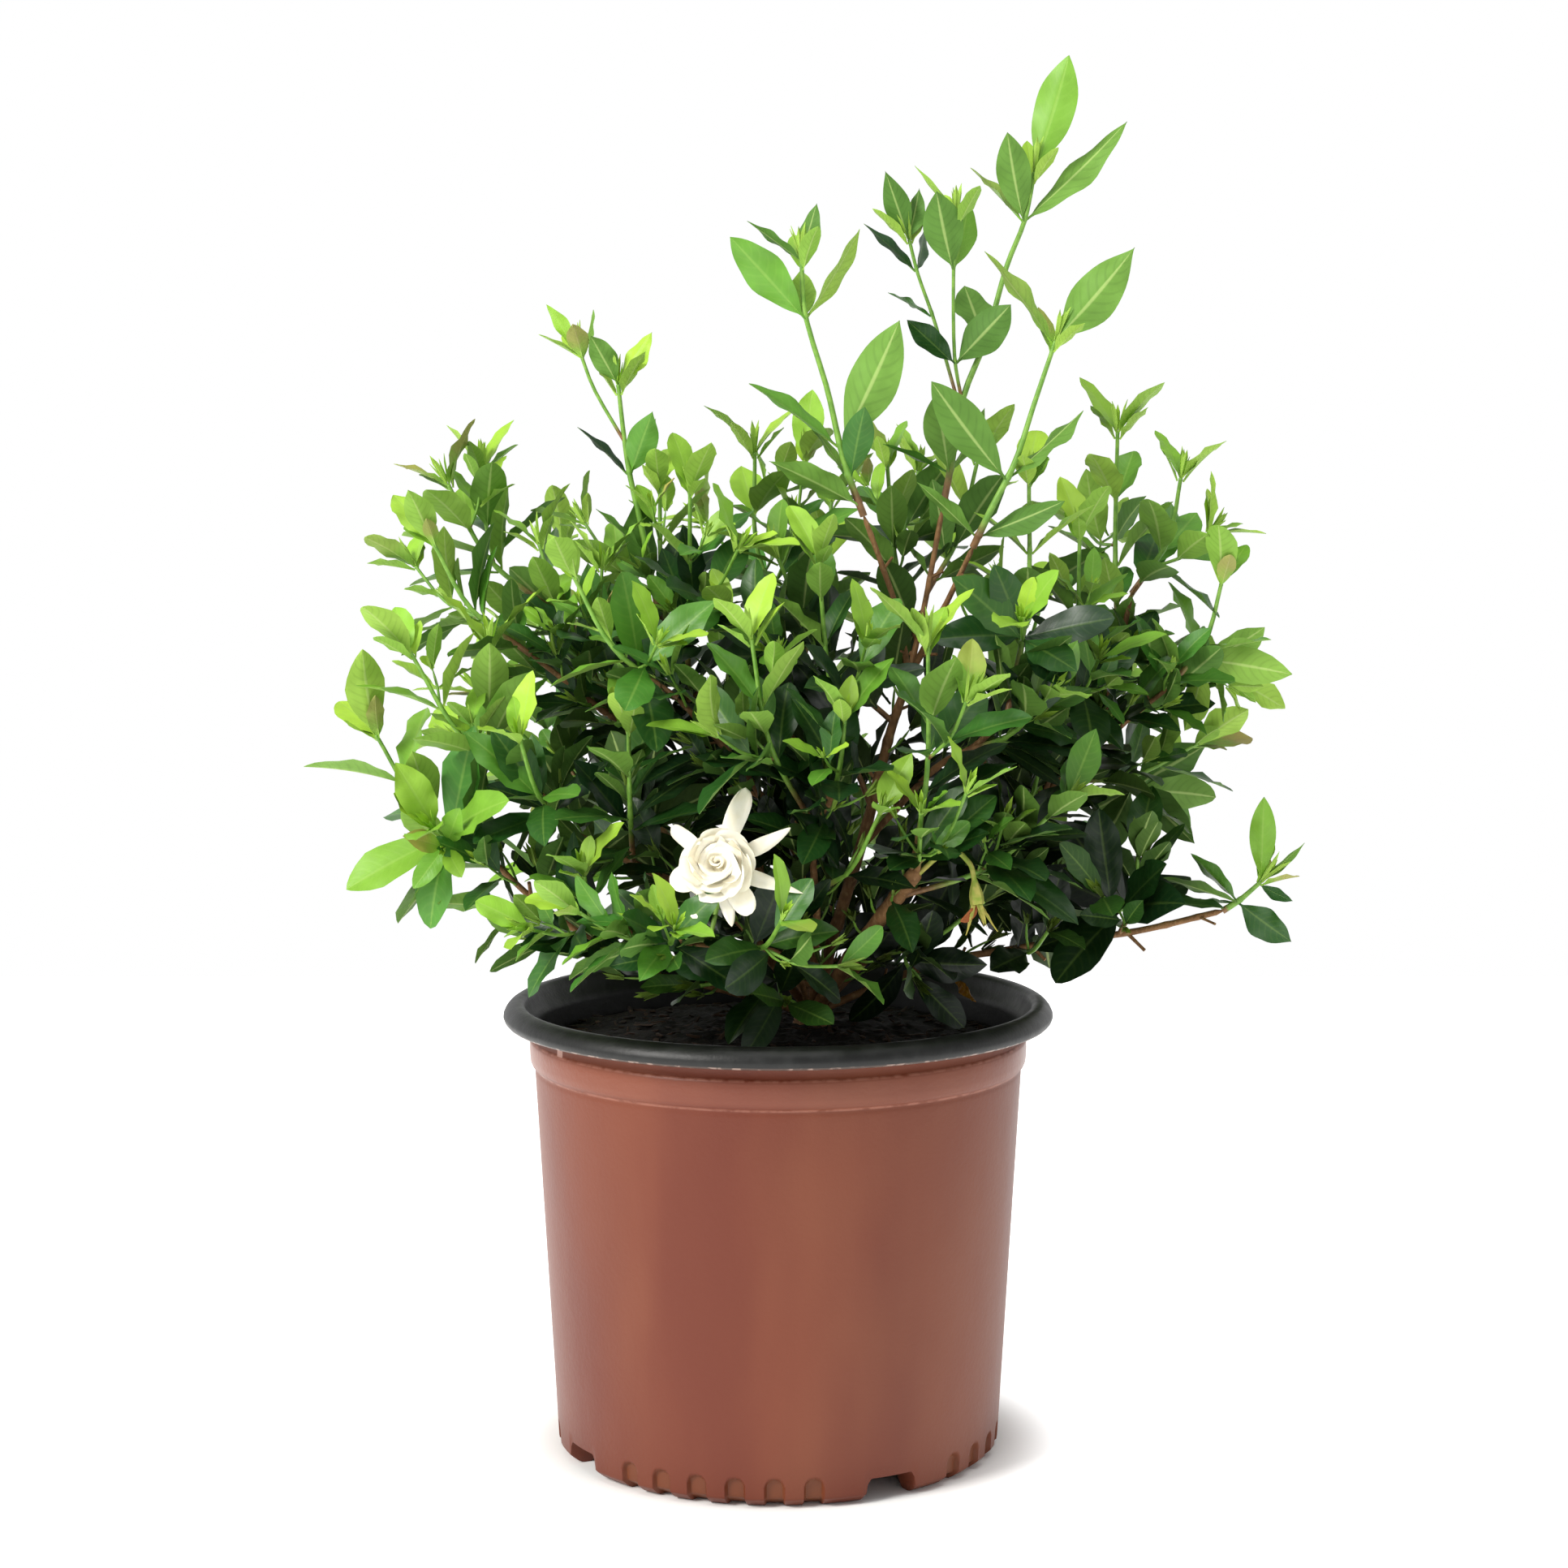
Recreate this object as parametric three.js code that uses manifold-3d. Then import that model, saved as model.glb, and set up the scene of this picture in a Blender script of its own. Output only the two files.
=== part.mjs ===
// A gardenia shrub in bloom in its moulded nursery pot, as an assembly of closed solids.
// Millimetres, Z up. The origin is the middle of the pot's underside, and the side that
// carries the bloom faces -Y. Every leaf, petal and twig has a real thickness, and pieces
// that meet keep a hair of clearance.
import * as THREE from 'three';
import { mergeVertices } from 'three/addons/utils/BufferGeometryUtils.js';
import Module from 'manifold-3d';

const wasm = await Module();
wasm.setup();

// Pot: a 3 gallon nursery pot
const POT_HEIGHT = 241;
const RIM_RADIUS = 146;
const MOUTH_RADIUS = 134.9;
const NECK_RADIUS = 130.8;
const SHOULDER_RADIUS = 129.4;
const BASE_RADIUS = 118;
const FOOT_RADIUS = 111.5;
const WALL = 3;
const COLLAR_DEPTH = 11;
const BAND_BOTTOM = 207;
const FOOT_WIDTH = 5.5;
const FLOOR_LIFT = 9;
const FLOOR_THICKNESS = 2.5;
const PAD_RADIUS = 30;
const POT_SIDES = 36;

// Drain notches and moulded flutes round the foot. Angles run from the front towards +X.
const QUARTERS = 4;
const NOTCH_ANGLE = 29.5;
const NOTCH_WIDTH = 32;
const NOTCH_HEIGHT = 13;
const FLUTES_PER_QUARTER = 6;
const FLUTE_PITCH = 9.8;
const FLUTE_WIDTH = 10;
const FLUTE_HEIGHT = 16;
const FLUTE_DEPTH = 2;
const CUTTER_MARGIN = 10;

// Potting soil, mounded towards the crown of the plant
const SOIL_SIDES = 18;
const SOIL_RADIUS = 127.5;
const SOIL_EDGE = 216.5;
const SOIL_CREST = 227;

// Clearance between pieces that touch, and the extra room that a new leaf asks for
const GAP = 0.3;
const ROOM = 0.6;

// Woody frame: the crown stands in the soil and each limb grows from the crown or from a
// fraction of the way along an earlier limb. Points are the ones that its bends need.
const CROWN = { foot: [18, 4, 178], top: [18, 4, 238], thick: [12, 8.5] };
const LIMBS = {
  leader: {
    from: ['crown', 1], thick: [4.1, 2.3],
    to: [[30, -8, 278], [46, -22, 335], [58, -20, 383], [68, -15, 412]],
  },
  tall: { from: ['leader', 1], to: [[77, -10, 453], [86, 0, 500]], thick: [1.8, 1.5] },
  leftFork: {
    from: ['leader', 1], thick: [1.8, 1.4],
    to: [[63, -28, 444], [53, -35, 474], [44, -39, 498]],
  },
  rightFork: { from: ['leader', 1], to: [[88, -30, 455], [100, -39, 482]], thick: [1.9, 1.4] },
  stump: { from: ['crown', 1], to: [[40, -42, 272], [56, -72, 300], [70, -92, 322]], thick: [4.6, 4.4] },
  front: { from: ['crown', 1], to: [[20, -50, 290], [18, -78, 334], [27, -90, 358]], thick: [2.4, 1.9] },
  frontLow: {
    from: ['crown', 1], thick: [2, 1.4],
    to: [[5, -60, 272], [-20, -98, 284], [-50, -114, 288], [-72, -110, 291]],
  },
  frontLeft: {
    from: ['crown', 1], thick: [2.7, 1.6],
    to: [[17, -38, 302], [0, -58, 342], [-24, -68, 378], [-51, -70, 407]],
  },
  midRight: {
    from: ['leader', 0.45], thick: [2, 1.6],
    to: [[80, -40, 367], [100, -48, 380], [117, -54, 396]],
  },
  right: { from: ['crown', 1], to: [[80, 20, 292], [119, 30, 320], [154, 35, 357]], thick: [3.1, 2.2] },
  rightHigh: {
    from: ['right', 1], thick: [1.8, 1.4],
    to: [[172, 33, 380], [184, 30, 431], [189, 30, 455]],
  },
  rightWide: { from: ['right', 1], to: [[186, 22, 387], [207, 10, 406]], thick: [1.8, 1.3] },
  rightLow: {
    from: ['crown', 1], thick: [2.4, 1.8],
    to: [[80, 14, 256], [126, 10, 266], [189, 5, 276], [236, 0, 288]],
  },
  left: {
    from: ['crown', 1], thick: [3.1, 1.9],
    to: [[-13, 18, 312], [-43, 24, 350], [-69, 20, 380], [-91, 10, 392]],
  },
  leftWide: { from: ['left', 1], to: [[-112, 2, 410], [-130, 0, 424]], thick: [1.8, 1.4] },
  leftHigh: { from: ['left', 1], to: [[-104, 38, 424], [-121, 50, 444]], thick: [1.8, 1.4] },
  leftTall: {
    from: ['crown', 1], thick: [2.7, 1.8],
    to: [[-10, 38, 310], [-40, 34, 380], [-60, 22, 428]],
  },
  leftMid: {
    from: ['crown', 1], thick: [2.6, 1.8],
    to: [[-25, -48, 294], [-66, -50, 316], [-107, -42, 336], [-119, -40, 352]],
  },
  leftLow: {
    from: ['crown', 1], thick: [2.7, 1.6],
    to: [[-30, -45, 254], [-68, -60, 266], [-117, -40, 292], [-150, -40, 322]],
  },
  back: { from: ['crown', 1], to: [[14, 60, 320], [8, 80, 378], [12, 80, 424]], thick: [2.7, 1.9] },
  backLeft: {
    from: ['crown', 1], thick: [2.7, 1.9],
    to: [[-30, 60, 285], [-75, 110, 330], [-100, 130, 375]],
  },
  backRight: {
    from: ['crown', 1], thick: [2.7, 1.9],
    to: [[60, 60, 290], [100, 110, 340], [118, 125, 385]],
  },
  backLow: { from: ['crown', 1], to: [[30, 90, 268], [25, 140, 292]], thick: [2.3, 1.6] },
};

// Leafy shoots. Each row is one leafy stem: the limb that it grows from and how far along,
// the length of its leaves, its tip, and then any forks as how far along it they leave and
// their own tips.
const SHOOTS = [
  ['leftWide', 1, 36, [-181, 0, 483], [0.4, [-193, 22, 470]]],
  ['leftHigh', 1, 36, [-178, 50, 513], [0.45, [-160, 62, 520]]],
  ['leftHigh', 0.6, 34, [-120, 112, 478]],
  ['frontLeft', 1, 34, [-103, -72, 469], [0.3, [-60, -98, 436]]],
  ['leftMid', 1, 38, [-189, -40, 428], [0.35, [-150, -22, 430]]],
  ['leftMid', 0.85, 36, [-129, -90, 388]],
  ['leftMid', 0.55, 40, [-75, -84, 392], [0.3, [-66, -14, 352]]],
  ['leftLow', 1, 42, [-210, -20, 384], [0.25, [-176, -52, 338]]],
  ['leftLow', 0.62, 34, [-97, -94, 320], [0.4, [-124, -92, 292]]],
  ['left', 0.85, 34, [-127, 20, 482], [0.35, [-92, -8, 470]]],
  ['left', 0.6, 36, [-178, 84, 372], [0.45, [-140, 80, 425]], [0.2, [-74, 66, 420]]],
  ['frontLow', 0.8, 30, [-50, -138, 299], [0.3, [-98, -126, 306]]],
  ['frontLow', 0.45, 32, [2, -140, 304], [0.4, [30, -132, 280]]],
  ['front', 1, 34, [33, -116, 400]],
  ['front', 0.75, 36, [-13, -117, 440], [0.43, [-30, -112, 392]]],
  ['front', 0.45, 32, [50, -124, 354]],
  ['leader', 0.55, 34, [20, -76, 478], [0.45, [44, -96, 436]], [0.2, [4, -22, 398]]],
  ['leader', 0.8, 36, [0, -24, 476], [0.4, [-24, -52, 452]]],
  ['stump', 1, 30, [70, -132, 356], [0.2, [92, -134, 366]]],
  ['stump', 0.93, 40, [74, -112, 436], [0.55, [92, -128, 410]]],
  ['stump', 0.75, 36, [146, -84, 358], [0.45, [112, -98, 344]]],
  ['leftTall', 0.8, 34, [-45, -38, 512], [0.5, [-20, -64, 482]]],
  ['leftTall', 0.95, 32, [-62, 2, 512], [0.4, [-104, 44, 492]]],
  ['back', 1, 38, [-13, 80, 530], [0.3, [14, 44, 526]]],
  ['back', 0.85, 34, [30, 130, 502], [0.5, [-42, 122, 490]]],
  ['back', 0.55, 36, [22, 165, 420], [0.5, [-34, 156, 410]]],
  ['tall', 0.25, 32, [58, 28, 524], [0.55, [76, 62, 520]]],
  ['tall', 0.55, 34, [107, 42, 526]],
  ['midRight', 1, 36, [129, -32, 517], [0.35, [122, -84, 446]]],
  ['midRight', 0.6, 38, [136, -74, 408]],
  ['right', 0.9, 34, [158, -4, 488], [0.4, [166, -30, 424]]],
  ['rightHigh', 1, 34, [214, 25, 517], [0.25, [229, 20, 488]]],
  ['rightHigh', 0.6, 36, [182, 44, 541], [0.5, [168, 98, 492]]],
  ['rightWide', 1, 34, [233, 0, 462], [0.35, [237, 20, 412]]],
  ['right', 0.97, 38, [226, 34, 374], [0.45, [206, 78, 344]]],
  ['right', 0.55, 36, [122, -26, 330], [0.55, [140, 0, 388]], [0.3, [98, 36, 300]]],
  ['rightLow', 0.72, 42, [190, -6, 318], [0.4, [168, -44, 302]]],
  ['rightLow', 0.5, 34, [140, -44, 284], [0.5, [152, 54, 300]]],
  ['backLeft', 1, 36, [-138, 152, 432], [0.4, [-92, 158, 458]]],
  ['backLeft', 0.75, 36, [-168, 112, 396], [0.5, [-134, 150, 334]]],
  ['backLeft', 0.4, 34, [-60, 158, 318], [0.5, [-126, 96, 300]]],
  ['backRight', 1, 36, [150, 150, 442], [0.4, [96, 152, 470]]],
  ['backRight', 0.75, 36, [188, 112, 402], [0.5, [154, 150, 342]]],
  ['backRight', 0.4, 34, [158, 96, 300]],
  ['backLow', 1, 36, [28, 188, 336], [0.45, [82, 172, 310]]],
  ['front', 0.1, 34, [-40, -72, 260], [0.4, [4, -86, 254]]],
  ['stump', 0.3, 38, [106, -60, 302], [0.35, [70, -58, 262]]],
];

// The tall shoots that stand above the bush. Each has its own route, and its leaves are
// set one by one: how far along, the reach from stem to leaf tip, the width, and the turn
// of the blade about its own length, where 0 has the upper face to the front.
const TALL_SHOOTS = [
  {
    name: 'tallest', from: ['tall', 1],
    route: [[91, 0, 526], [97, 5, 559], [109, 5, 590], [119, 5, 626], [128, 0, 650], [133, 0, 675]],
    leaves: [
      [1, [19, -3, 58], 22, 165], [1, [-7, 8, 31], 13, 100], [0.84, [-12, -8, 44], 18, 172],
      [0.84, [56, 8, 48], 17, 140], [0.84, [-26, 15, 30], 14, 70], [0.5, [33, -6, 38], 17, 160],
      [0.5, [-9, 20, 30], 21, 25], [0.14, [-7, -10, 41], 20, 172], [0.14, [20, 8, 32], 14, 60],
      [0.14, [-33, 2, 16], 10, 110],
    ],
    forks: [
      { at: 0.3, route: [[83, 20, 597], [74, 25, 623], [69, 25, 642]], leaves: [
        [1, [-13, -4, 35], 14, 168], [1, [7, 3, 26], 12, 150], [0.72, [-27, 5, 26], 13, 60],
        [0.72, [6, 14, 24], 12, 60], [0.4, [-22, 8, 14], 10, 100],
      ] },
      { at: 0.32, route: [[92, 0, 581], [91, -5, 621], [92, -5, 650]], leaves: [
        [0.72, [-11, -7, 39], 21, 175], [0.72, [10, 12, 35], 15, 30], [1, [-19, 0, 29], 8, 110],
        [1, [25, 0, 27], 9, 110], [0.3, [28, -5, 30], 21, 165], [0.3, [-25, -8, 23], 14, 150],
      ] },
    ],
  },
  {
    name: 'tall_right', from: ['rightFork', 1],
    route: [[109, -45, 502], [121, -45, 526], [130, -45, 554], [141, -45, 587]],
    leaves: [
      [1, [41, -8, 44], 24, 172], [1, [-33, 5, 48], 18, 60], [1, [-4, 2, 24], 12, 150],
      [1, [6, 6, 32], 12, 120], [0.42, [-41, -8, 48], 22, 165], [0.42, [41, 6, 33], 18, 110],
      [0.08, [44, -6, 17], 15, 150], [0.08, [-29, -3, 29], 12, 130],
    ],
    forks: [],
  },
  {
    name: 'tall_left', from: ['leftFork', 1],
    route: [[36, -40, 519], [31, -40, 537], [25, -40, 563], [14, -40, 600], [12, -38, 628]],
    leaves: [
      [0.8, [-38, -6, 41], 21, 162], [0.8, [29, 5, 44], 18, 65], [0.8, [-2, 13, 26], 14, 5],
      [1, [-27, 0, 20], 9, 120], [1, [8, 0, 28], 12, 150], [0.38, [31, -9, 62], 26, 170],
      [0.38, [-44, 2, 34], 20, 70], [0.2, [5, -9, 36], 16, 175], [0.2, [-19, 8, 32], 9, 60],
      [0.07, [-44, -12, 25], 18, 140],
    ],
    forks: [],
  },
  {
    name: 'tall_far_left', from: ['leftTall', 1],
    route: [[-69, 12, 474], [-72, 10, 491], [-78, 10, 518], [-81, 10, 538], [-84, 10, 566]],
    leaves: [
      [0.62, [11, -8, 33], 17, 170], [0.62, [-25, 4, 26], 11, 70], [0.62, [15, 12, 28], 11, 20],
      [1, [-14, -7, 25], 14, 170], [1, [18, -3, 27], 13, 150], [1, [3, 2, 40], 12, 150],
      [0.24, [12, -8, 34], 16, 170], [0.24, [-24, -4, 24], 13, 110],
    ],
    forks: [
      { at: 0.78, route: [[-96, 10, 562], [-103, 10, 580]], leaves: [
        [1, [-17, 0, 28], 9, 150], [1, [-22, 3, 13], 9, 80], [1, [7, 0, 25], 8, 110],
      ] },
    ],
  },
  {
    name: 'low_right_tip', from: ['rightLow', 1], route: [[245, -1, 294], [256, -2, 304]],
    leaves: [
      [1, [1, 2, 45], 14, 170], [1, [24, 0, 19], 8, 110], [1, [16, -6, -9], 9, 40],
      [0.5, [26, -9, -20], 18, 20], [0.5, [-40, -6, 15], 13, 120], [0.5, [-24, -6, 27], 12, 130],
      [0.5, [-33, -4, 2], 9, 100], [1, [10, 10, 30], 10, 120],
    ],
    forks: [],
  },
];

// The double bloom, seen almost full face from the front: its middle, the way it faces and
// its petals by ring. The long outer petals are each given as the angle round the face
// from the top, the length and the width.
const BLOOM_CENTRE = [-29, -122, 328];
const BLOOM_FACING = [-0.1, -0.93, 0.34];
const BLOOM_TUBE = 12;
const OUTER_PETALS = [
  [16, 40, 13], [61, 37, 10], [104, 39, 10], [142, 26, 14], [170, 26, 13], [-112, 23, 15], [-50, 29, 11],
];
const PETAL_RINGS = [
  { count: 6, lean: 68, length: 20, width: 15 },
  { count: 5, lean: 42, length: 17, width: 12 },
  { count: 3, lean: 16, length: 13, width: 8 },
];

// The spent flower's withered calyx, and two leaves that have yellowed low in the bush
const SPENT_ROUTE = [[84, -102, 333], [95, -106, 328], [98, -107, 318]];
const SPENT_LENGTH = 22;
const YELLOW_LEAVES = [
  { name: 'yellow_leaf_front', limb: 'front', at: 0.22, reach: [-20, -14, -2], width: 9 },
  { name: 'yellow_leaf_right', limb: 'rightLow', at: 0.3, reach: [12, -14, -19], width: 9 },
];

const COLOURS = {
  pot: 0x8f4c3b, soil: 0x241a14, wood: 0x5d4433, leaf: 0x4f7f2c, bloom: 0xf4efe2, calyx: 0x7da13f,
  spent: 0xa39a45, yellow: 0xc07a1e,
};

const radians = THREE.MathUtils.degToRad;
const mix = THREE.MathUtils.lerp;
const UP = new THREE.Vector3(0, 0, 1);
const FRONT = new THREE.Vector3(0, -1, 0);
const vector = (p) => new THREE.Vector3(...p);

// A repeatable number from 0 to 1 for a shoot, one of its leaves and one use of the draw
function draw(shoot, leaf, use) {
  const turns = 0.6180339887 * (shoot + 1) + 0.7548776662 * (leaf + 1) + 0.5698402910 * (use + 1);
  const stirred = Math.sin(turns * 91.7) * 4375.85;
  return stirred - Math.floor(stirred);
}

// Solids: a closed geometry becomes a solid that can be joined and cut, and back again
function solid(geometry) {
  const plain = geometry.clone();
  plain.deleteAttribute('normal');
  plain.deleteAttribute('uv');
  const merged = mergeVertices(plain, 1e-4);
  const corners = merged.index.array;
  const kept = [];
  for (let i = 0; i < corners.length; i += 3) {
    const [a, b, c] = corners.slice(i, i + 3);
    if (a !== b && b !== c && c !== a) kept.push(a, b, c);
  }
  const vertProperties = merged.attributes.position.array;
  return new wasm.Manifold(new wasm.Mesh({ numProp: 3, vertProperties, triVerts: new Uint32Array(kept) }));
}

function geometryOf(body) {
  const mesh = body.getMesh();
  const geometry = new THREE.BufferGeometry();
  geometry.setAttribute('position', new THREE.BufferAttribute(mesh.vertProperties, 3));
  geometry.setIndex(new THREE.BufferAttribute(mesh.triVerts, 1));
  geometry.computeVertexNormals();
  return geometry;
}

const joined = (bodies) => bodies.reduce((whole, body) => whole.add(body));

// A skin is grown ring by ring. Rings run counter-clockwise about the way it grows, and a
// ring of one point is a tip.
class Skin {
  points = [];
  faces = [];

  ring(points) {
    return points.map((point) => this.points.push(point) - 1);
  }

  wall(near, far) {
    const count = Math.max(near.length, far.length);
    for (let i = 0; i < count; i += 1) {
      const j = (i + 1) % count;
      if (near.length === 1) this.faces.push(near[0], far[j], far[i]);
      else if (far.length === 1) this.faces.push(near[i], near[j], far[0]);
      else this.faces.push(near[i], near[j], far[j], near[i], far[j], far[i]);
    }
  }

  cap(ring, start = false) {
    for (let i = 1; i + 1 < ring.length; i += 1) {
      this.faces.push(ring[0], ...(start ? [ring[i + 1], ring[i]] : [ring[i], ring[i + 1]]));
    }
  }

  close() {
    const geometry = new THREE.BufferGeometry().setFromPoints(this.points);
    return solid(geometry.setIndex(this.faces));
  }
}

function loft(rings) {
  const skin = new Skin();
  const placedRings = rings.map((ring) => skin.ring(ring));
  placedRings.slice(1).forEach((ring, i) => skin.wall(placedRings[i], ring));
  skin.cap(placedRings[0], true);
  skin.cap(placedRings.at(-1));
  return skin.close();
}

// Routes: a smooth curve, and the frame of one place on it
const routeThrough = (points) => new THREE.CatmullRomCurve3(points, false, 'catmullrom', 0.5);

function referenceFor(direction) {
  const [x, y, z] = direction.toArray().map(Math.abs);
  if (y <= x && y <= z) return new THREE.Vector3(0, 1, 0);
  return x <= z ? new THREE.Vector3(1, 0, 0) : new THREE.Vector3(0, 0, 1);
}

function frameAt(route, t) {
  const reference = referenceFor(route.getPoint(1).sub(route.getPoint(0)));
  const step = 0.01;
  const along = route.getPoint(Math.min(t + step, 1)).sub(route.getPoint(Math.max(t - step, 0))).normalize();
  const side = reference.clone().cross(along).normalize();
  const over = along.clone().cross(side);
  return { point: route.getPoint(t), along, side, over };
}

function ringAt(route, t, radius, sides, turn = 0) {
  const { point, side, over } = frameAt(route, t);
  return Array.from({ length: sides }, (_, k) => {
    const angle = turn + (k / sides) * Math.PI * 2;
    const across = side.clone().multiplyScalar(Math.cos(angle)).addScaledVector(over, Math.sin(angle));
    return point.clone().addScaledVector(across, radius);
  });
}

function twig(route, from, to, thick, sides, steps, extra = 0) {
  const shares = Array.from({ length: steps + 1 }, (_, i) => i / steps);
  const ring = (share) => ringAt(route, mix(from, to, share), mix(...thick, share) + extra, sides);
  return loft(shares.map(ring));
}

// Blades: a leaf or petal has a flat face, sharp edges and the thickness of its midrib below
const LONG_LEAF = { at: [0.25, 0.56, 0.84, 1], wide: [0.7, 1, 0.6, 0] };
const SHORT_LEAF = { at: [0.36, 0.74, 1], wide: [0.9, 0.84, 0] };
const PETAL = { at: [0.4, 0.82, 1], wide: [0.9, 0.9, 0] };
const SEPAL = { at: [0.4, 1], wide: [1, 0] };
const LONG_LEAF_FROM = 46;

function bladeRing({ base, along, face, length, width, curl, thick }, at, wide, extra = 0) {
  const side = face.clone().cross(along).normalize();
  const droop = curl * length * at * at;
  const middle = base.clone().addScaledVector(along, length * at).addScaledVector(face, -droop);
  if (wide === 0) return [middle.addScaledVector(along, extra)];
  const half = (wide * width) / 2 + extra;
  const edge = middle.clone().addScaledVector(face, extra);
  return [
    edge.clone().addScaledVector(side, half), edge.addScaledVector(side, -half),
    middle.addScaledVector(face, -thick - extra),
  ];
}

const leafOutline = (leaf) => (leaf.length > LONG_LEAF_FROM ? LONG_LEAF : SHORT_LEAF);

function bladeRings(leaf, outline, extra = 0) {
  return outline.at.map((at, i) => bladeRing(leaf, at, outline.wide[i], extra));
}

// A blade on its own starts from a point, or from a ring a little way along it
const LOOSE_FROM = 0.2;
const pointedBlade = (leaf, outline) => loft([[leaf.base], ...bladeRings(leaf, outline)]);

function outerBlade(leaf, outline) {
  return loft([bladeRing(leaf, LOOSE_FROM, 0.55), ...bladeRings(leaf, outline)]);
}

// The three corners of a socket, started from the corner that lies nearest the ring's own
function lineUp(socket, ring) {
  const turns = [0, 1, 2].map((turn) => [0, 1, 2].map((i) => socket[(i + turn) % 3]));
  const spread = (corners) => corners.reduce((sum, corner, i) => sum + corner.distanceToSquared(ring[i]), 0);
  return turns.reduce((best, corners) => (spread(corners) < spread(best) ? corners : best));
}

function socketedBlade(socket, leaf, outline, extra = 0) {
  const rings = bladeRings(leaf, outline, extra);
  return loft([lineUp(socket, rings[0]), ...rings]);
}

// Pot
function turned(profile, sides) {
  const lathe = new THREE.LatheGeometry(profile.map(([r, z]) => new THREE.Vector2(r, z)), sides);
  return solid(lathe.rotateX(Math.PI / 2));
}

// A shape drawn across the foot, pushed straight in to the given radius and swung round
function radialCutter(outline, inner, angle) {
  const shape = new THREE.Shape(outline.map(([x, z]) => new THREE.Vector2(x, z)));
  const depth = BASE_RADIUS + CUTTER_MARGIN - inner;
  const block = new THREE.ExtrudeGeometry(shape, { depth, bevelEnabled: false });
  return solid(block.translate(0, 0, inner).rotateX(Math.PI / 2).rotateZ(radians(angle)));
}

function notchCutter(quarter) {
  const [half, top] = [NOTCH_WIDTH / 2, NOTCH_HEIGHT];
  const outline = [
    [-half, -1], [half, -1], [half - 2, top - 3], [half - 4, top], [4 - half, top], [2 - half, top - 3],
  ];
  const inner = FOOT_RADIUS - FOOT_WIDTH - 8;
  return radialCutter(outline, inner, NOTCH_ANGLE + (quarter * 360) / QUARTERS);
}

function fluteCutter(quarter, index) {
  const half = FLUTE_WIDTH / 2;
  const straight = FLUTE_HEIGHT - half;
  const outline = [[-half, -1], [half, -1]];
  const arcSteps = 2;
  for (let i = 0; i <= arcSteps; i += 1) {
    const angle = (i / arcSteps) * Math.PI;
    outline.push([half * Math.cos(angle), straight + half * Math.sin(angle)]);
  }
  const middle = NOTCH_ANGLE + ((quarter - 0.5) * 360) / QUARTERS;
  const offset = (index - (FLUTES_PER_QUARTER - 1) / 2) * FLUTE_PITCH;
  return radialCutter(outline, BASE_RADIUS - FLUTE_DEPTH, middle + offset);
}

function makePot() {
  const collar = POT_HEIGHT - COLLAR_DEPTH;
  const footInside = FOOT_RADIUS - FOOT_WIDTH;
  const floor = FLOOR_LIFT + FLOOR_THICKNESS;
  const underside = [
    [0, 0], [PAD_RADIUS, 0], [PAD_RADIUS + 3, FLOOR_LIFT], [footInside - 5, FLOOR_LIFT], [footInside, 0],
  ];
  const outside = [
    [FOOT_RADIUS, 0], [BASE_RADIUS, 5], [SHOULDER_RADIUS, BAND_BOTTOM],
    [SHOULDER_RADIUS + 2.4, BAND_BOTTOM + 5], [SHOULDER_RADIUS + 2, BAND_BOTTOM + 17], [NECK_RADIUS, collar],
  ];
  const rim = [
    [RIM_RADIUS - 2.2, collar], [RIM_RADIUS, collar + 4], [RIM_RADIUS - 2.5, POT_HEIGHT - 1.5],
    [RIM_RADIUS - 7.5, POT_HEIGHT], [MOUTH_RADIUS, POT_HEIGHT - 1.5],
  ];
  const inside = [[NECK_RADIUS - 1.8, collar - 2], [BASE_RADIUS - WALL, floor], [0, floor]];
  let pot = turned([...underside, ...outside, ...rim, ...inside], POT_SIDES);
  for (let quarter = 0; quarter < QUARTERS; quarter += 1) {
    pot = pot.subtract(notchCutter(quarter));
    for (let i = 0; i < FLUTES_PER_QUARTER; i += 1) pot = pot.subtract(fluteCutter(quarter, i));
  }
  return pot;
}

// Soil: it fills the pot to the wall and has a plain hole for the crown
function makeSoil(crownHole) {
  const floor = FLOOR_LIFT + FLOOR_THICKNESS + GAP;
  const profile = [
    [0, floor], [BASE_RADIUS - WALL - 1.4, floor], [SOIL_RADIUS, SOIL_EDGE],
    [80, mix(SOIL_EDGE, SOIL_CREST, 0.6)], [34, SOIL_CREST], [0, SOIL_CREST + 1],
  ];
  return turned(profile, SOIL_SIDES).subtract(crownHole);
}

// Wood
const CROWN_SIDES = 8;
const limbRoutes = {};

function crownRoute() {
  const [foot, top] = [vector(CROWN.foot), vector(CROWN.top)];
  return routeThrough([foot, foot.clone().lerp(top, 0.5), top]);
}

function placeOn(limb, at) {
  return limb === 'crown' ? limbRoutes.crown.getPoint(at * 0.9) : limbRoutes[limb].getPoint(at);
}

function makeLimbs() {
  limbRoutes.crown = crownRoute();
  const bodies = { crown: twig(limbRoutes.crown, 0, 1, CROWN.thick, CROWN_SIDES, 2) };
  for (const [name, limb] of Object.entries(LIMBS)) {
    limbRoutes[name] = routeThrough([placeOn(...limb.from), ...limb.to.map(vector)]);
    const sides = limb.thick[0] > 3 ? 5 : 4;
    bodies[name] = twig(limbRoutes[name], 0, 1, limb.thick, sides, limb.to.length);
  }
  return bodies;
}

// What is already in place, so that a new leaf or stem can be set clear of it
const placed = [];

function put(body, owner) {
  placed.push({ body, owner, box: body.boundingBox() });
}

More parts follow.
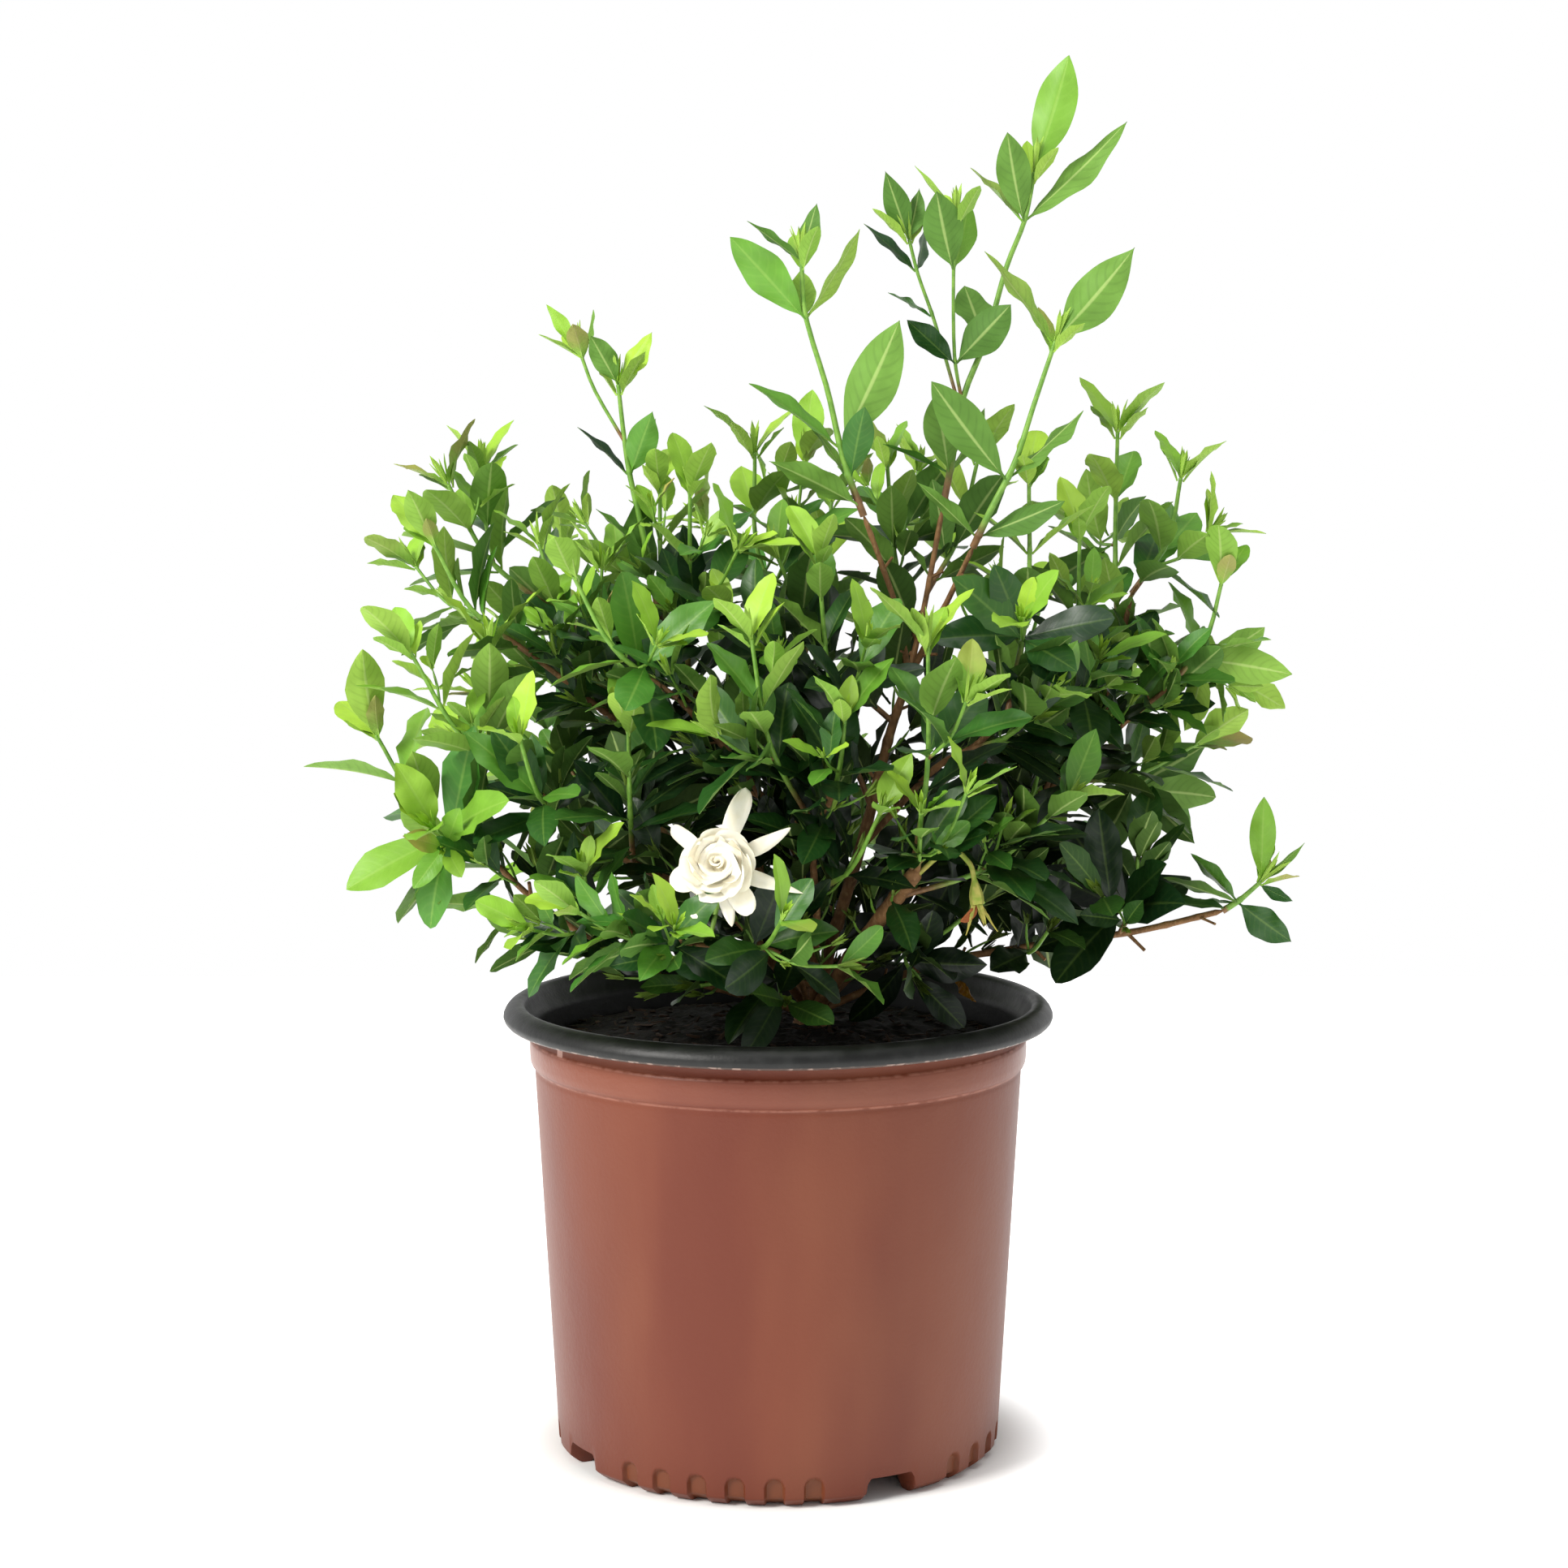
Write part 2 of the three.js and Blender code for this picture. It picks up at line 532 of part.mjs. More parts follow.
const apart = (a, b) => [0, 1, 2].some((i) => a.max[i] < b.min[i] || b.max[i] < a.min[i]);
const meet = (a, b) => a.intersect(b).getMesh().triVerts.length > 0;

function blocked(body, isRival) {
  const box = body.boundingBox();
  return placed.some((other) => isRival(other) && !apart(box, other.box) && meet(body, other.body));
}

// Shoots: a stem first tries a gentle sag, then bows to other sides until it is clear
const BOWS = 16;
const STEM_SIDES = 4;
const STEM_STEPS = 3;
const NODE_LENGTH = 2.2;
const ROOT_LENGTH = 4;

function bowedRoute(root, tip, bow) {
  const chord = tip.clone().sub(root);
  const reach = chord.length() * (bow < BOWS / 2 ? 0.1 : 0.2);
  const away = UP.clone().negate().addScaledVector(chord, chord.z / chord.lengthSq()).normalize();
  away.applyAxisAngle(chord.clone().normalize(), ((bow % (BOWS / 2)) * Math.PI * 2) / (BOWS / 2));
  return routeThrough([root, root.clone().lerp(tip, 0.5).addScaledVector(away, reach), tip]);
}

const spanOf = (route) => route.getPoint(0).distanceTo(route.getPoint(1));

// Where a stem can start so that its cut end stands just clear of the limb that bears it
function clearStart(route, limb, thick) {
  const step = 0.15 / spanOf(route);
  let from = 0;
  while (twig(route, from, 1, thick, STEM_SIDES, STEM_STEPS).minGap(limbBodies[limb], 1) < GAP) from += step;
  return from;
}

function clearStem(root, tip, thick, owner, limb) {
  for (let bow = 0; bow < BOWS; bow += 1) {
    const route = bowedRoute(root, tip, bow);
    const from = limb ? clearStart(route, limb, thick) : 0;
    const stem = twig(route, from, 1, thick, STEM_SIDES, STEM_STEPS);
    const roomyStem = twig(route, from + ROOT_LENGTH / spanOf(route), 1, thick, STEM_SIDES, STEM_STEPS, ROOM);
    const isOther = (other) => other.owner !== owner;
    if (!blocked(stem, isOther) && !blocked(roomyStem, isOther)) return { route, from };
  }
  return null;
}

// A stem's skin has a short stretch at each leaf node, whose four facets and the cut tip
// are sockets for leaves to grow from
function makeStem(route, from, thick, nodes, turn) {
  const node = NODE_LENGTH / spanOf(route);
  const places = [from];
  const bends = route.points.slice(1, -1).map((_, i) => (i + 1) / (route.points.length - 1));
  const isClear = (t) => nodes.every((n) => Math.abs(n - t) > 0.09) && t > from + 0.05;
  const stops = [...nodes, ...bends.filter(isClear)].sort((a, b) => a - b);
  stops.forEach((t) => places.push(...(nodes.includes(t) ? [t - node, t] : [t])));
  if (places.at(-1) < 1) places.push(1);
  const rings = places.map((t) => ringAt(route, t, mix(...thick, (t - from) / (1 - from)), STEM_SIDES, turn));
  return { route, rings, nodeRings: nodes.map((t) => places.indexOf(t) - 1), leaves: new Map() };
}

function socketsAt(stem, node) {
  const row = stem.nodeRings[node];
  const [near, far] = [stem.rings[row], stem.rings[row + 1]];
  const sockets = near.map((corner, i) => {
    const next = (i + 1) % near.length;
    return { key: `${row} ${i}`, corners: [corner, near[next], far[next]] };
  });
  if (far === stem.rings.at(-1)) {
    sockets.push({ key: 'tip 0', corners: [far[0], far[1], far[2]] });
    sockets.push({ key: 'tip 1', corners: [far[0], far[2], far[3]] });
  }
  return sockets.filter(({ key }) => !stem.leaves.has(key));
}

function bestSocket(stem, node, along) {
  const ring = stem.rings[stem.nodeRings[node]];
  const middle = ring.reduce((sum, p) => sum.addScaledVector(p, 1 / ring.length), new THREE.Vector3());
  const scored = socketsAt(stem, node).map(({ key, corners }) => {
    const base = corners[0].clone().add(corners[1]).add(corners[2]).divideScalar(3);
    const out = new THREE.Triangle(...corners).getNormal(new THREE.Vector3());
    const offset = base.clone().sub(middle).normalize();
    return { key, corners, base, score: out.dot(along) + 0.3 * offset.dot(along) };
  });
  return scored.reduce((best, socket) => (socket.score > best.score ? socket : best));
}

function stemSkin({ rings, leaves }) {
  const skin = new Skin();
  const placedRings = rings.map((ring) => skin.ring(ring));
  const grow = (key, corners) => {
    if (!leaves.has(key)) {
      skin.faces.push(...corners);
      return;
    }
    const leafRings = leaves.get(key);
    const start = lineUp(corners.map((c) => skin.points[c]), leafRings[0]);
    let near = start.map((point) => skin.points.indexOf(point));
    for (const ring of leafRings) {
      const far = skin.ring(ring);
      skin.wall(near, far);
      near = far;
    }
  };
  placedRings.slice(1).forEach((far, row) => {
    const near = placedRings[row];
    near.forEach((corner, i) => {
      const next = (i + 1) % near.length;
      grow(`${row} ${i}`, [corner, near[next], far[next]]);
      skin.faces.push(corner, far[next], far[i]);
    });
  });
  const tip = placedRings.at(-1);
  skin.cap(placedRings[0], true);
  grow('tip 0', [tip[0], tip[1], tip[2]]);
  grow('tip 1', [tip[0], tip[2], tip[3]]);
  return skin.close();
}

// How far along a shoot its first leaves stand, and how its pairs are spread
const FIRST_PAIR = 0.42;
const PAIR_PITCH = 35;

function pairPlaces(length) {
  const count = THREE.MathUtils.clamp(Math.round(length / PAIR_PITCH), 2, 3);
  return Array.from({ length: count }, (_, i) => mix(FIRST_PAIR, 1, i / (count - 1)));
}

// Ways to set a leaf, tried in turn: swing round the stem, lift off it, share of its length
const LEAF_TRIES = [
  [0, 0, 1], [18, 0, 1], [-18, 0, 1], [0, 14, 1], [0, -12, 0.95], [30, 6, 0.92], [-30, 6, 0.92], [0, 26, 0.8],
];

const firstPairAngle = (shoot) => draw(shoot, 0, 0) * Math.PI * 2;

function leafOn(route, t, shoot, index, size, attempt) {
  const { along: stem, side, over } = frameAt(route, t);
  const [swing, lift, share] = LEAF_TRIES[attempt];
  const quarterTurns = Math.floor(index / 2) + (index % 2) * 2;
  const stray = (draw(shoot, index, 1) - 0.5) * 26 + swing;
  const round = firstPairAngle(shoot) + (quarterTurns * Math.PI) / 2 + radians(stray);
  const open = radians(mix(64, 36, t) + (draw(shoot, index, 2) - 0.5) * 16 + lift);
  const out = side.clone().multiplyScalar(Math.cos(round)).addScaledVector(over, Math.sin(round));
  const along = stem.clone().multiplyScalar(Math.cos(open)).addScaledVector(out, Math.sin(open));
  along.addScaledVector(UP, 0.1).normalize();
  const face = stem.clone().multiplyScalar(0.8).addScaledVector(UP, 0.5);
  face.addScaledVector(along, -face.dot(along)).normalize();
  const length = size * mix(1.42, 1, t) * (0.86 + 0.28 * draw(shoot, index, 3)) * share;
  const width = length * (0.4 + 0.09 * draw(shoot, index, 4));
  return { along, face, length, width, curl: 0.06 + 0.14 * draw(shoot, index, 5), thick: 1.1 };
}

// A leaf given by its reach from the stem, its width and its turn
function reachingLeaf(reach, width, turn) {
  const along = vector(reach);
  const length = along.length();
  along.normalize();
  const face = FRONT.clone().addScaledVector(along, -FRONT.dot(along)).normalize();
  face.applyAxisAngle(along, radians(turn));
  return { along, face, length, width, curl: 0.05, thick: 1.2 };
}

function setLeaf(stem, node, owner, leaf) {
  const socket = bestSocket(stem, node, leaf.along);
  const placedLeaf = { ...leaf, base: socket.base };
  const outline = leafOutline(leaf);
  const roomy = socketedBlade(socket.corners, placedLeaf, outline, ROOM);
  if (blocked(roomy, (other) => other.owner !== owner)) return false;
  if (blocked(outerBlade(placedLeaf, outline), (other) => other.owner === owner)) return false;
  put(socketedBlade(socket.corners, placedLeaf, outline), owner);
  stem.leaves.set(socket.key, bladeRings(placedLeaf, outline));
  return true;
}

// Assembly
const plant = new THREE.Group();

function addPart(name, body, colour, roughness) {
  const material = new THREE.MeshStandardMaterial({ color: colour, roughness, metalness: 0 });
  const mesh = new THREE.Mesh(geometryOf(body), material);
  mesh.name = name;
  plant.add(mesh);
}

const pot = makePot();
const limbBodies = makeLimbs();
const limbs = Object.values(limbBodies);
const soil = makeSoil(twig(limbRoutes.crown, 0, 1, CROWN.thick, CROWN_SIDES, 2, GAP).translate([0, 0, -GAP]));
put(pot, 'pot');
put(soil, 'soil');
limbs.forEach((body) => put(body, 'wood'));

// The bloom stands on a green calyx and stalk, which grow from the low front limb
const facing = vector(BLOOM_FACING).normalize();
const bloomCentre = vector(BLOOM_CENTRE);
const bloomTop = UP.clone().addScaledVector(facing, -UP.dot(facing)).normalize();

const leaned = (axis, out, lean) =>
  axis.clone().multiplyScalar(Math.cos(radians(lean))).addScaledVector(out, Math.sin(radians(lean)));

function petal(angle, lean, length, width, curl) {
  const out = bloomTop.clone().applyAxisAngle(facing, radians(-angle));
  const along = leaned(facing, out, lean);
  const face = facing.clone().addScaledVector(out, -0.2);
  face.addScaledVector(along, -face.dot(along)).normalize();
  const base = bloomCentre.clone().addScaledVector(facing, -1).addScaledVector(out, 2.5);
  return pointedBlade({ base, along, face, length, width, curl, thick: 1 }, PETAL);
}

function makeBloom() {
  const tubeEnd = bloomCentre.clone().addScaledVector(facing, -BLOOM_TUBE);
  const heart = bloomCentre.clone().addScaledVector(facing, 3);
  const bodies = [twig(routeThrough([tubeEnd, bloomCentre, heart]), 0, 1, [2.4, 6], 6, 1)];
  OUTER_PETALS.forEach(([angle, length, width]) => bodies.push(petal(angle, 88, length, width, 0.1)));
  PETAL_RINGS.forEach((ring, row) => {
    for (let i = 0; i < ring.count; i += 1) {
      const angle = ((i + row * 0.4) * 360) / ring.count;
      bodies.push(petal(angle, ring.lean, ring.length, ring.width, -0.22));
    }
  });
  return joined(bodies);
}

// Five narrow sepals spread round a calyx
function sepals(base, axis, first, lean, length, width) {
  return Array.from({ length: 5 }, (_, i) => {
    const out = first.clone().applyAxisAngle(axis, (i * Math.PI * 2) / 5);
    const along = leaned(axis, out, lean);
    const face = out.addScaledVector(along, -out.dot(along)).normalize();
    return pointedBlade({ base, along, face, length, width, curl: 0, thick: 1.4 }, SEPAL);
  });
}

function makeCalyx(root) {
  const seat = bloomCentre.clone().addScaledVector(facing, -BLOOM_TUBE - GAP);
  const neck = seat.clone().addScaledVector(facing, -7);
  const route = routeThrough([root, root.clone().lerp(neck, 0.5).add(vector([0, 4, -1])), neck, seat]);
  const from = clearStart(route, 'frontLow', [1.6, 2.6]);
  const stalk = twig(route, from, 1, [1.6, 2.6], 6, 4);
  const base = seat.clone().addScaledVector(facing, -4);
  return joined([stalk, ...sepals(base, facing, bloomTop, 110, 14, 3.4)]);
}

// The withered calyx of an earlier flower hangs from its own stalk
function makeSpent(root) {
  const route = routeThrough([root, ...SPENT_ROUTE.map(vector)]);
  const stalk = twig(route, clearStart(route, 'stump', [1.4, 1.5]), 1, [1.4, 1.5], 5, 3);
  const end = route.getPoint(1);
  const hang = vector([0.12, -0.15, -1]).normalize();
  const base = end.clone().addScaledVector(hang, 5);
  const husk = twig(routeThrough([end, base, end.clone().addScaledVector(hang, 10)]), 0, 1, [1.6, 3], 5, 1);
  return joined([stalk, husk, ...sepals(base, hang, vector([1, 0, 0.1]), 16, SPENT_LENGTH, 3.6)]);
}

const calyx = makeCalyx(placeOn('frontLow', 0.62));
const bloom = makeBloom();
const spent = makeSpent(placeOn('stump', 0.84));
put(bloom, 'bloom');
put(calyx, 'bloom_calyx');
put(spent, 'spent_bloom');

// A leaf about to drop stands with its base just clear of the limb
const yellowLeaves = YELLOW_LEAVES.map(({ name, limb, at, reach, width }) => {
  const leaf = { ...reachingLeaf(reach, width, 60), base: placeOn(limb, at) };
  let body = pointedBlade(leaf, LONG_LEAF);
  while (body.minGap(limbBodies[limb], 1) < GAP) {
    leaf.base.addScaledVector(leaf.along, 0.15);
    body = pointedBlade(leaf, LONG_LEAF);
  }
  put(body, name);
  return { name, body };
});

// Leafy stems: every stem is laid out before the first leaf is set
const shoots = [];

function layStem(shoot, route, from, thick, nodes, turn, leafAt) {
  const stem = makeStem(route, from, thick, nodes, turn);
  put(loft(stem.rings), shoot.name);
  shoot.stems.push({ stem, leafAt });
}

// Hand-set leaves: the ones that stand close together share a node
function layGivenStem(shoot, route, from, thick, leaves) {
  const nodes = [...new Set(leaves.map(([at]) => at))].sort((a, b) => a - b);
  const leafAt = leaves.map(([at, ...leaf]) => ({ node: nodes.indexOf(at), ways: [reachingLeaf(...leaf)] }));
  layStem(shoot, route, from, thick, nodes, 0, leafAt);
}

function layPairedStem(shoot, route, from, thick, id, size) {
  const nodes = pairPlaces(spanOf(route));
  const leafAt = nodes.flatMap((t, node) => [0, 1].map((half) => {
    const ways = LEAF_TRIES.map((_, attempt) => leafOn(route, t, id, node * 2 + half, size, attempt));
    return { node, ways };
  }));
  layStem(shoot, route, from, thick, nodes, firstPairAngle(id) - Math.PI / 4, leafAt);
}

for (const { name, from: [limb, at], route, leaves, forks } of TALL_SHOOTS) {
  const shoot = { name: `shoot_${name}`, stems: [] };
  const main = routeThrough([placeOn(limb, at), ...route.map(vector)]);
  layGivenStem(shoot, main, clearStart(main, limb, [1.9, 1.1]), [1.9, 1.1], leaves);
  for (const fork of forks) {
    const side = routeThrough([main.getPoint(fork.at), ...fork.route.map(vector)]);
    layGivenStem(shoot, side, 0, [0.9, 0.9], fork.leaves);
  }
  shoots.push(shoot);
}

let stemCount = 0;
SHOOTS.forEach(([limb, at, size, tip, ...forks], row) => {
  const shoot = { name: `shoot_${String(row + 1).padStart(2, '0')}`, stems: [] };
  const main = clearStem(placeOn(limb, at), vector(tip), [1.6, 1], shoot.name, limb);
  if (!main) throw new Error(`${shoot.name} has no clear way from ${limb}`);
  layPairedStem(shoot, main.route, main.from, [1.6, 1], stemCount, size);
  stemCount += 1;
  for (const [forkAt, forkTip] of forks) {
    const side = clearStem(main.route.getPoint(forkAt), vector(forkTip), [0.8, 0.9], shoot.name);
    if (side) layPairedStem(shoot, side.route, 0, [0.8, 0.9], stemCount, size);
    stemCount += 1;
  }
  shoots.push(shoot);
});

for (const shoot of shoots) {
  for (const { stem, leafAt } of shoot.stems) {
    for (const { node, ways } of leafAt) ways.some((leaf) => setLeaf(stem, node, shoot.name, leaf));
  }
}

const shootBody = ({ stems }) => joined(stems.map(({ stem }) => stemSkin(stem)));

addPart('pot', pot, COLOURS.pot, 0.45);
addPart('soil', soil, COLOURS.soil, 0.95);
addPart('wood', joined(limbs), COLOURS.wood, 0.8);
addPart('bloom', bloom, COLOURS.bloom, 0.5);
addPart('bloom_calyx', calyx, COLOURS.calyx, 0.5);
addPart('spent_bloom', spent, COLOURS.spent, 0.7);
yellowLeaves.forEach(({ name, body }) => addPart(name, body, COLOURS.yellow, 0.6));
shoots.forEach((shoot) => addPart(shoot.name, shootBody(shoot), COLOURS.leaf, 0.4));

export default plant;
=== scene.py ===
import math
from collections import namedtuple

import bpy
import numpy as np
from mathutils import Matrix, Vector, kdtree, noise


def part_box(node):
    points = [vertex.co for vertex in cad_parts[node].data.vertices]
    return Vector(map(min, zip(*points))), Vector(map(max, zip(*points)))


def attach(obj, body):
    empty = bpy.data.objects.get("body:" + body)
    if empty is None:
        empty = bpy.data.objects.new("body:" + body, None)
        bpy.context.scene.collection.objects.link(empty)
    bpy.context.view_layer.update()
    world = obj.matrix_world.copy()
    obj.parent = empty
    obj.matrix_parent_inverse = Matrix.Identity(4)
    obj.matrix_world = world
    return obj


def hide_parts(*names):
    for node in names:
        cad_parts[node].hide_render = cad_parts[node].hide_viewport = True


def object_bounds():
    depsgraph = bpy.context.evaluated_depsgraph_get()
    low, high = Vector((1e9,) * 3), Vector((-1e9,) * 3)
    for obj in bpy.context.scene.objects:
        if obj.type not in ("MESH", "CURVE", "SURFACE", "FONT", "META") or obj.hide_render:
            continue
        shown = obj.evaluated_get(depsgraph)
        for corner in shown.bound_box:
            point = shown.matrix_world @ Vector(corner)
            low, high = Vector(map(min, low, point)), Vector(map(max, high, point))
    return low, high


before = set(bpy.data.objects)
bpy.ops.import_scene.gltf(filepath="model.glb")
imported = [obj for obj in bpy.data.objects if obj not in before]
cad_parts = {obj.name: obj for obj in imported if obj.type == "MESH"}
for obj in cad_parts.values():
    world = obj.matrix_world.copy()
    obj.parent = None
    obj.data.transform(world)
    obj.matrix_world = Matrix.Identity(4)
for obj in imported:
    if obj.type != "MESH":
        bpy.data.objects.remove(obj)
cad_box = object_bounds()

# Nursery pot: one moulding of plastic, brown outside and black inside and over its rolled
# rim. It has a raised band under the rim, and a foot ring with four drain notches and rows
# of pressed flutes, on which it stands. Profiles are (radius, height), in millimetres.
UNDERSIDE = [
    (2, 0), (26, 0), (29.3, 0.5), (31, 2.6), (32.6, 6.8), (34.2, 8.6), (37, 9), (70, 9),
    (97, 9), (100.4, 8.6), (102.6, 6.4), (104.6, 1.8), (105.6, 0.5), (107, 0.05),
]
FOOT = [(109.6, 0), (111.2, 0.2), (113, 1.1), (115.2, 2.7), (117.1, 4.2), (118, 5.1)]
WALL_HEIGHTS = [6, *range(7, 20), 21, 24, 30, 42, 60, 80, 100, 120, 140, 160, 178, 192, 200, 203]
WALL_FOOT, WALL_SLOPE = (118.06, 5), 0.05644
BAND = [
    (129.2, 204.8), (129, 205.8), (129.2, 206.7), (130, 207.4), (131, 208.4), (131.7, 210),
    (132, 213), (132.1, 217), (132, 220.6), (131.7, 222), (131.1, 222.8), (130.6, 223.3),
    (130.4, 226), (130.3, 228.6),
]
RIM = [
    (130.8, 229.7), (132.5, 230.1), (138, 230.1), (142.4, 230), (144.2, 230.5), (145.3, 231.7),
    (145.95, 233.4), (145.8, 234.8), (145.2, 236.2), (144.6, 237.3), (143.2, 239), (141.2, 240.3),
    (138.6, 240.95), (136.6, 240.8), (135.2, 240), (134.5, 238.8), (133.7, 236.6), (132.4, 233.6),
    (130.8, 231), (129.5, 229), (128.9, 226.5),
]
INSIDE = [
    (125, 160), (120, 84), (116, 22), (115.3, 13.4), (114.4, 12), (112.6, 11.5), (60, 11.5), (2, 11.5),
]
FOOT_RADIUS, FOOT_INNER, FLOOR_TOP, FOOT_BLEND = 118, 97, 9.2, 19
NOTCH_ANGLES = [29.5, 119.5, 209.5, 299.5]
NOTCH_EDGE = ([0, 11.6, 12.4, 13.9, 15.7, 16.2], [13, 13, 12.4, 10, 0.8, 0])
FLUTE_PITCH, FLUTE_WIDTH, FLUTE_HEIGHT, FLUTE_DEPTH = 9.8, 10, 16, 2.5
FLUTE_ANGLES = [notch - 45 + (i - 2.5) * FLUTE_PITCH for notch in NOTCH_ANGLES for i in range(6)]
# Distances from a flute's or a notch's middle where the skin needs a column of points.
FLUTE_STEPS = [0, 1.5, 2.9, 3.7, 4.1, 4.5, 4.9, 5.4, 6.4, 8]
NOTCH_STEPS = [0, 5, 9, 11.6, 12.4, 13.1, 13.9, 14.8, 15.7, 16.2, 17.4]
WIDEST_COLUMN = 2.2
# Marks on the skin, by the heights in metres where each starts, is full, weakens and is gone. The band's
# sheen is a painted highlight.
BAND_SHEEN = (0.2075, 0.211, 0.22, 0.2225)
BAND_CREASES = [(0.2058, 0.2066, 0.2072, 0.208), (0.2212, 0.222, 0.2226, 0.2232)]
GATE_SCAR, GATE_LEFT = (0.2222, 0.2228, 0.2272, 0.2278), 0.1118
RIM_SCRAPE, COLOUR_SEAM = (0.2298, 0.2301, 0.231, 0.2317), (0.2286, 0.2296)
# Squares of the distance from the pot's axis, over which the rim's inner and outer sides turn; inside the
# first the black is darkened as painted shade.
RIM_INNER, RIM_OUTER = (0.0191, 0.0181), (0.0196, 0.0203)


def tone(code):
    """A colour named as a screen shows it, in the linear light that a shader takes."""
    parts = [int(code[i:i + 2], 16) / 255 for i in (0, 2, 4)]
    return [((c + 0.055) / 1.055) ** 2.4 if c > 0.04 else c / 12.92 for c in parts] + [1]


class Wire:
    """An outlet of a shader node. A sum written with it adds the nodes that work it out."""

    def __init__(self, finish, outlet):
        self.finish, self.outlet = finish, outlet

    def maths(self, operation, *terms):
        return self.finish.node("Math", {"operation": operation}, dict(enumerate(terms)))

    def __add__(self, other):
        return self.maths("ADD", self, other)

    def __radd__(self, other):
        return self.maths("ADD", other, self)

    def __sub__(self, other):
        return self.maths("SUBTRACT", self, other)

    def __rsub__(self, other):
        return self.maths("SUBTRACT", other, self)

    def __mul__(self, other):
        return self.maths("MULTIPLY", self, other)

    def __rmul__(self, other):
        return self.maths("MULTIPLY", other, self)

    def __abs__(self):
        return self.maths("ABSOLUTE", self)

    def sine(self):
        return self.maths("SINE", self)

    def at_most(self, limit):
        return self.maths("MINIMUM", self, limit)

    def rise(self, low, high):
        """0 below low and 1 above high, with a smooth slope between."""
        settings = {"interpolation_type": "SMOOTHSTEP"}
        return self.finish.node("MapRange", settings, {"Value": self, "From Min": low, "From Max": high})

    def between(self, start, full, weaker, gone):
        """1 from full to weaker, and 0 before start and after gone."""
        return self.rise(start, full) * self.rise(gone, weaker)


class Wiring:
    """The nodes of one shader, ending in the sockets of the one that it is made for."""

    def __init__(self, tree, last):
        self.tree, self.last = tree, tree.nodes[last]

    def set(self, sockets):
        for name, value in sockets.items():
            self.feed(self.last.inputs[name], value)

    def feed(self, inlet, value):
        if isinstance(value, Wire):
            self.tree.links.new(value.outlet, inlet)
        else:
            inlet.default_value = tone(value) if isinstance(value, str) else value

    def node(self, kind, settings, inlets, outlet=0):
        made = self.tree.nodes.new("ShaderNode" + kind)
        for name, value in settings.items():
            setattr(made, name, value)
        for name, value in inlets.items():
            self.feed(made.inputs[name], value)
        return Wire(self, made.outputs[outlet])

    def blend(self, share, first, second):
        """Two colours mixed, each a wire or the code of a tone."""
        return self.node("Mix", {"data_type": "RGBA"}, {0: share, 6: first, 7: second}, 2)

    def shade(self, colour, strength):
        """The same colour, brighter or darker."""
        return self.node("VectorMath", {"operation": "SCALE"}, {0: colour, "Scale": strength})


class Finish(Wiring):
    """A material, built round one Principled surface."""

    def __init__(self, name, specular):
        self.material = bpy.data.materials.new(name)
        self.material.use_nodes = True
        super().__init__(self.material.node_tree, "Principled BSDF")
        self.set({"Specular IOR Level": specular})

    def place(self, stretch=(1, 1, 1)):
        """Where the surface is, in metres, with each direction stretched."""
        where = self.node("TexCoord", {}, {}, "Object")
        return self.node("VectorMath", {"operation": "MULTIPLY"}, {0: where, 1: stretch})

    def axis(self, name):
        return self.node("SeparateXYZ", {}, {0: self.place()}, name)

    def out_squared(self):
        """The square of the distance from the pot's axis, in metres."""
        x, y = self.axis("X"), self.axis("Y")
        return x * x + y * y

    def grain(self, size, stretch=(1, 1, 1), detail=3):
        """Soft mottling from 0 to 1, with spots about size millimetres across."""
        inlets = {"Vector": self.place(stretch), "Scale": 1000 / size, "Detail": detail}
        return self.node("TexNoise", {}, inlets)

    def value(self, name):
        """A value that the mesh carries at each point."""
        return self.node("Attribute", {"attribute_name": name}, {}, "Fac")

    def coat(self, colour, roughness, relief, depth):
        """Gives the surface its colour and roughness, and relief of depth millimetres."""
        bump = self.node("Bump", {}, {"Height": relief, "Distance": depth / 1000, "Strength": 1})
        self.set({"Base Color": colour, "Roughness": roughness, "Normal": bump})
        return self


def stand(name, data):
    """Puts a thing into the scene."""
    made = bpy.data.objects.new(name, data)
    bpy.context.scene.collection.objects.link(made)
    return made


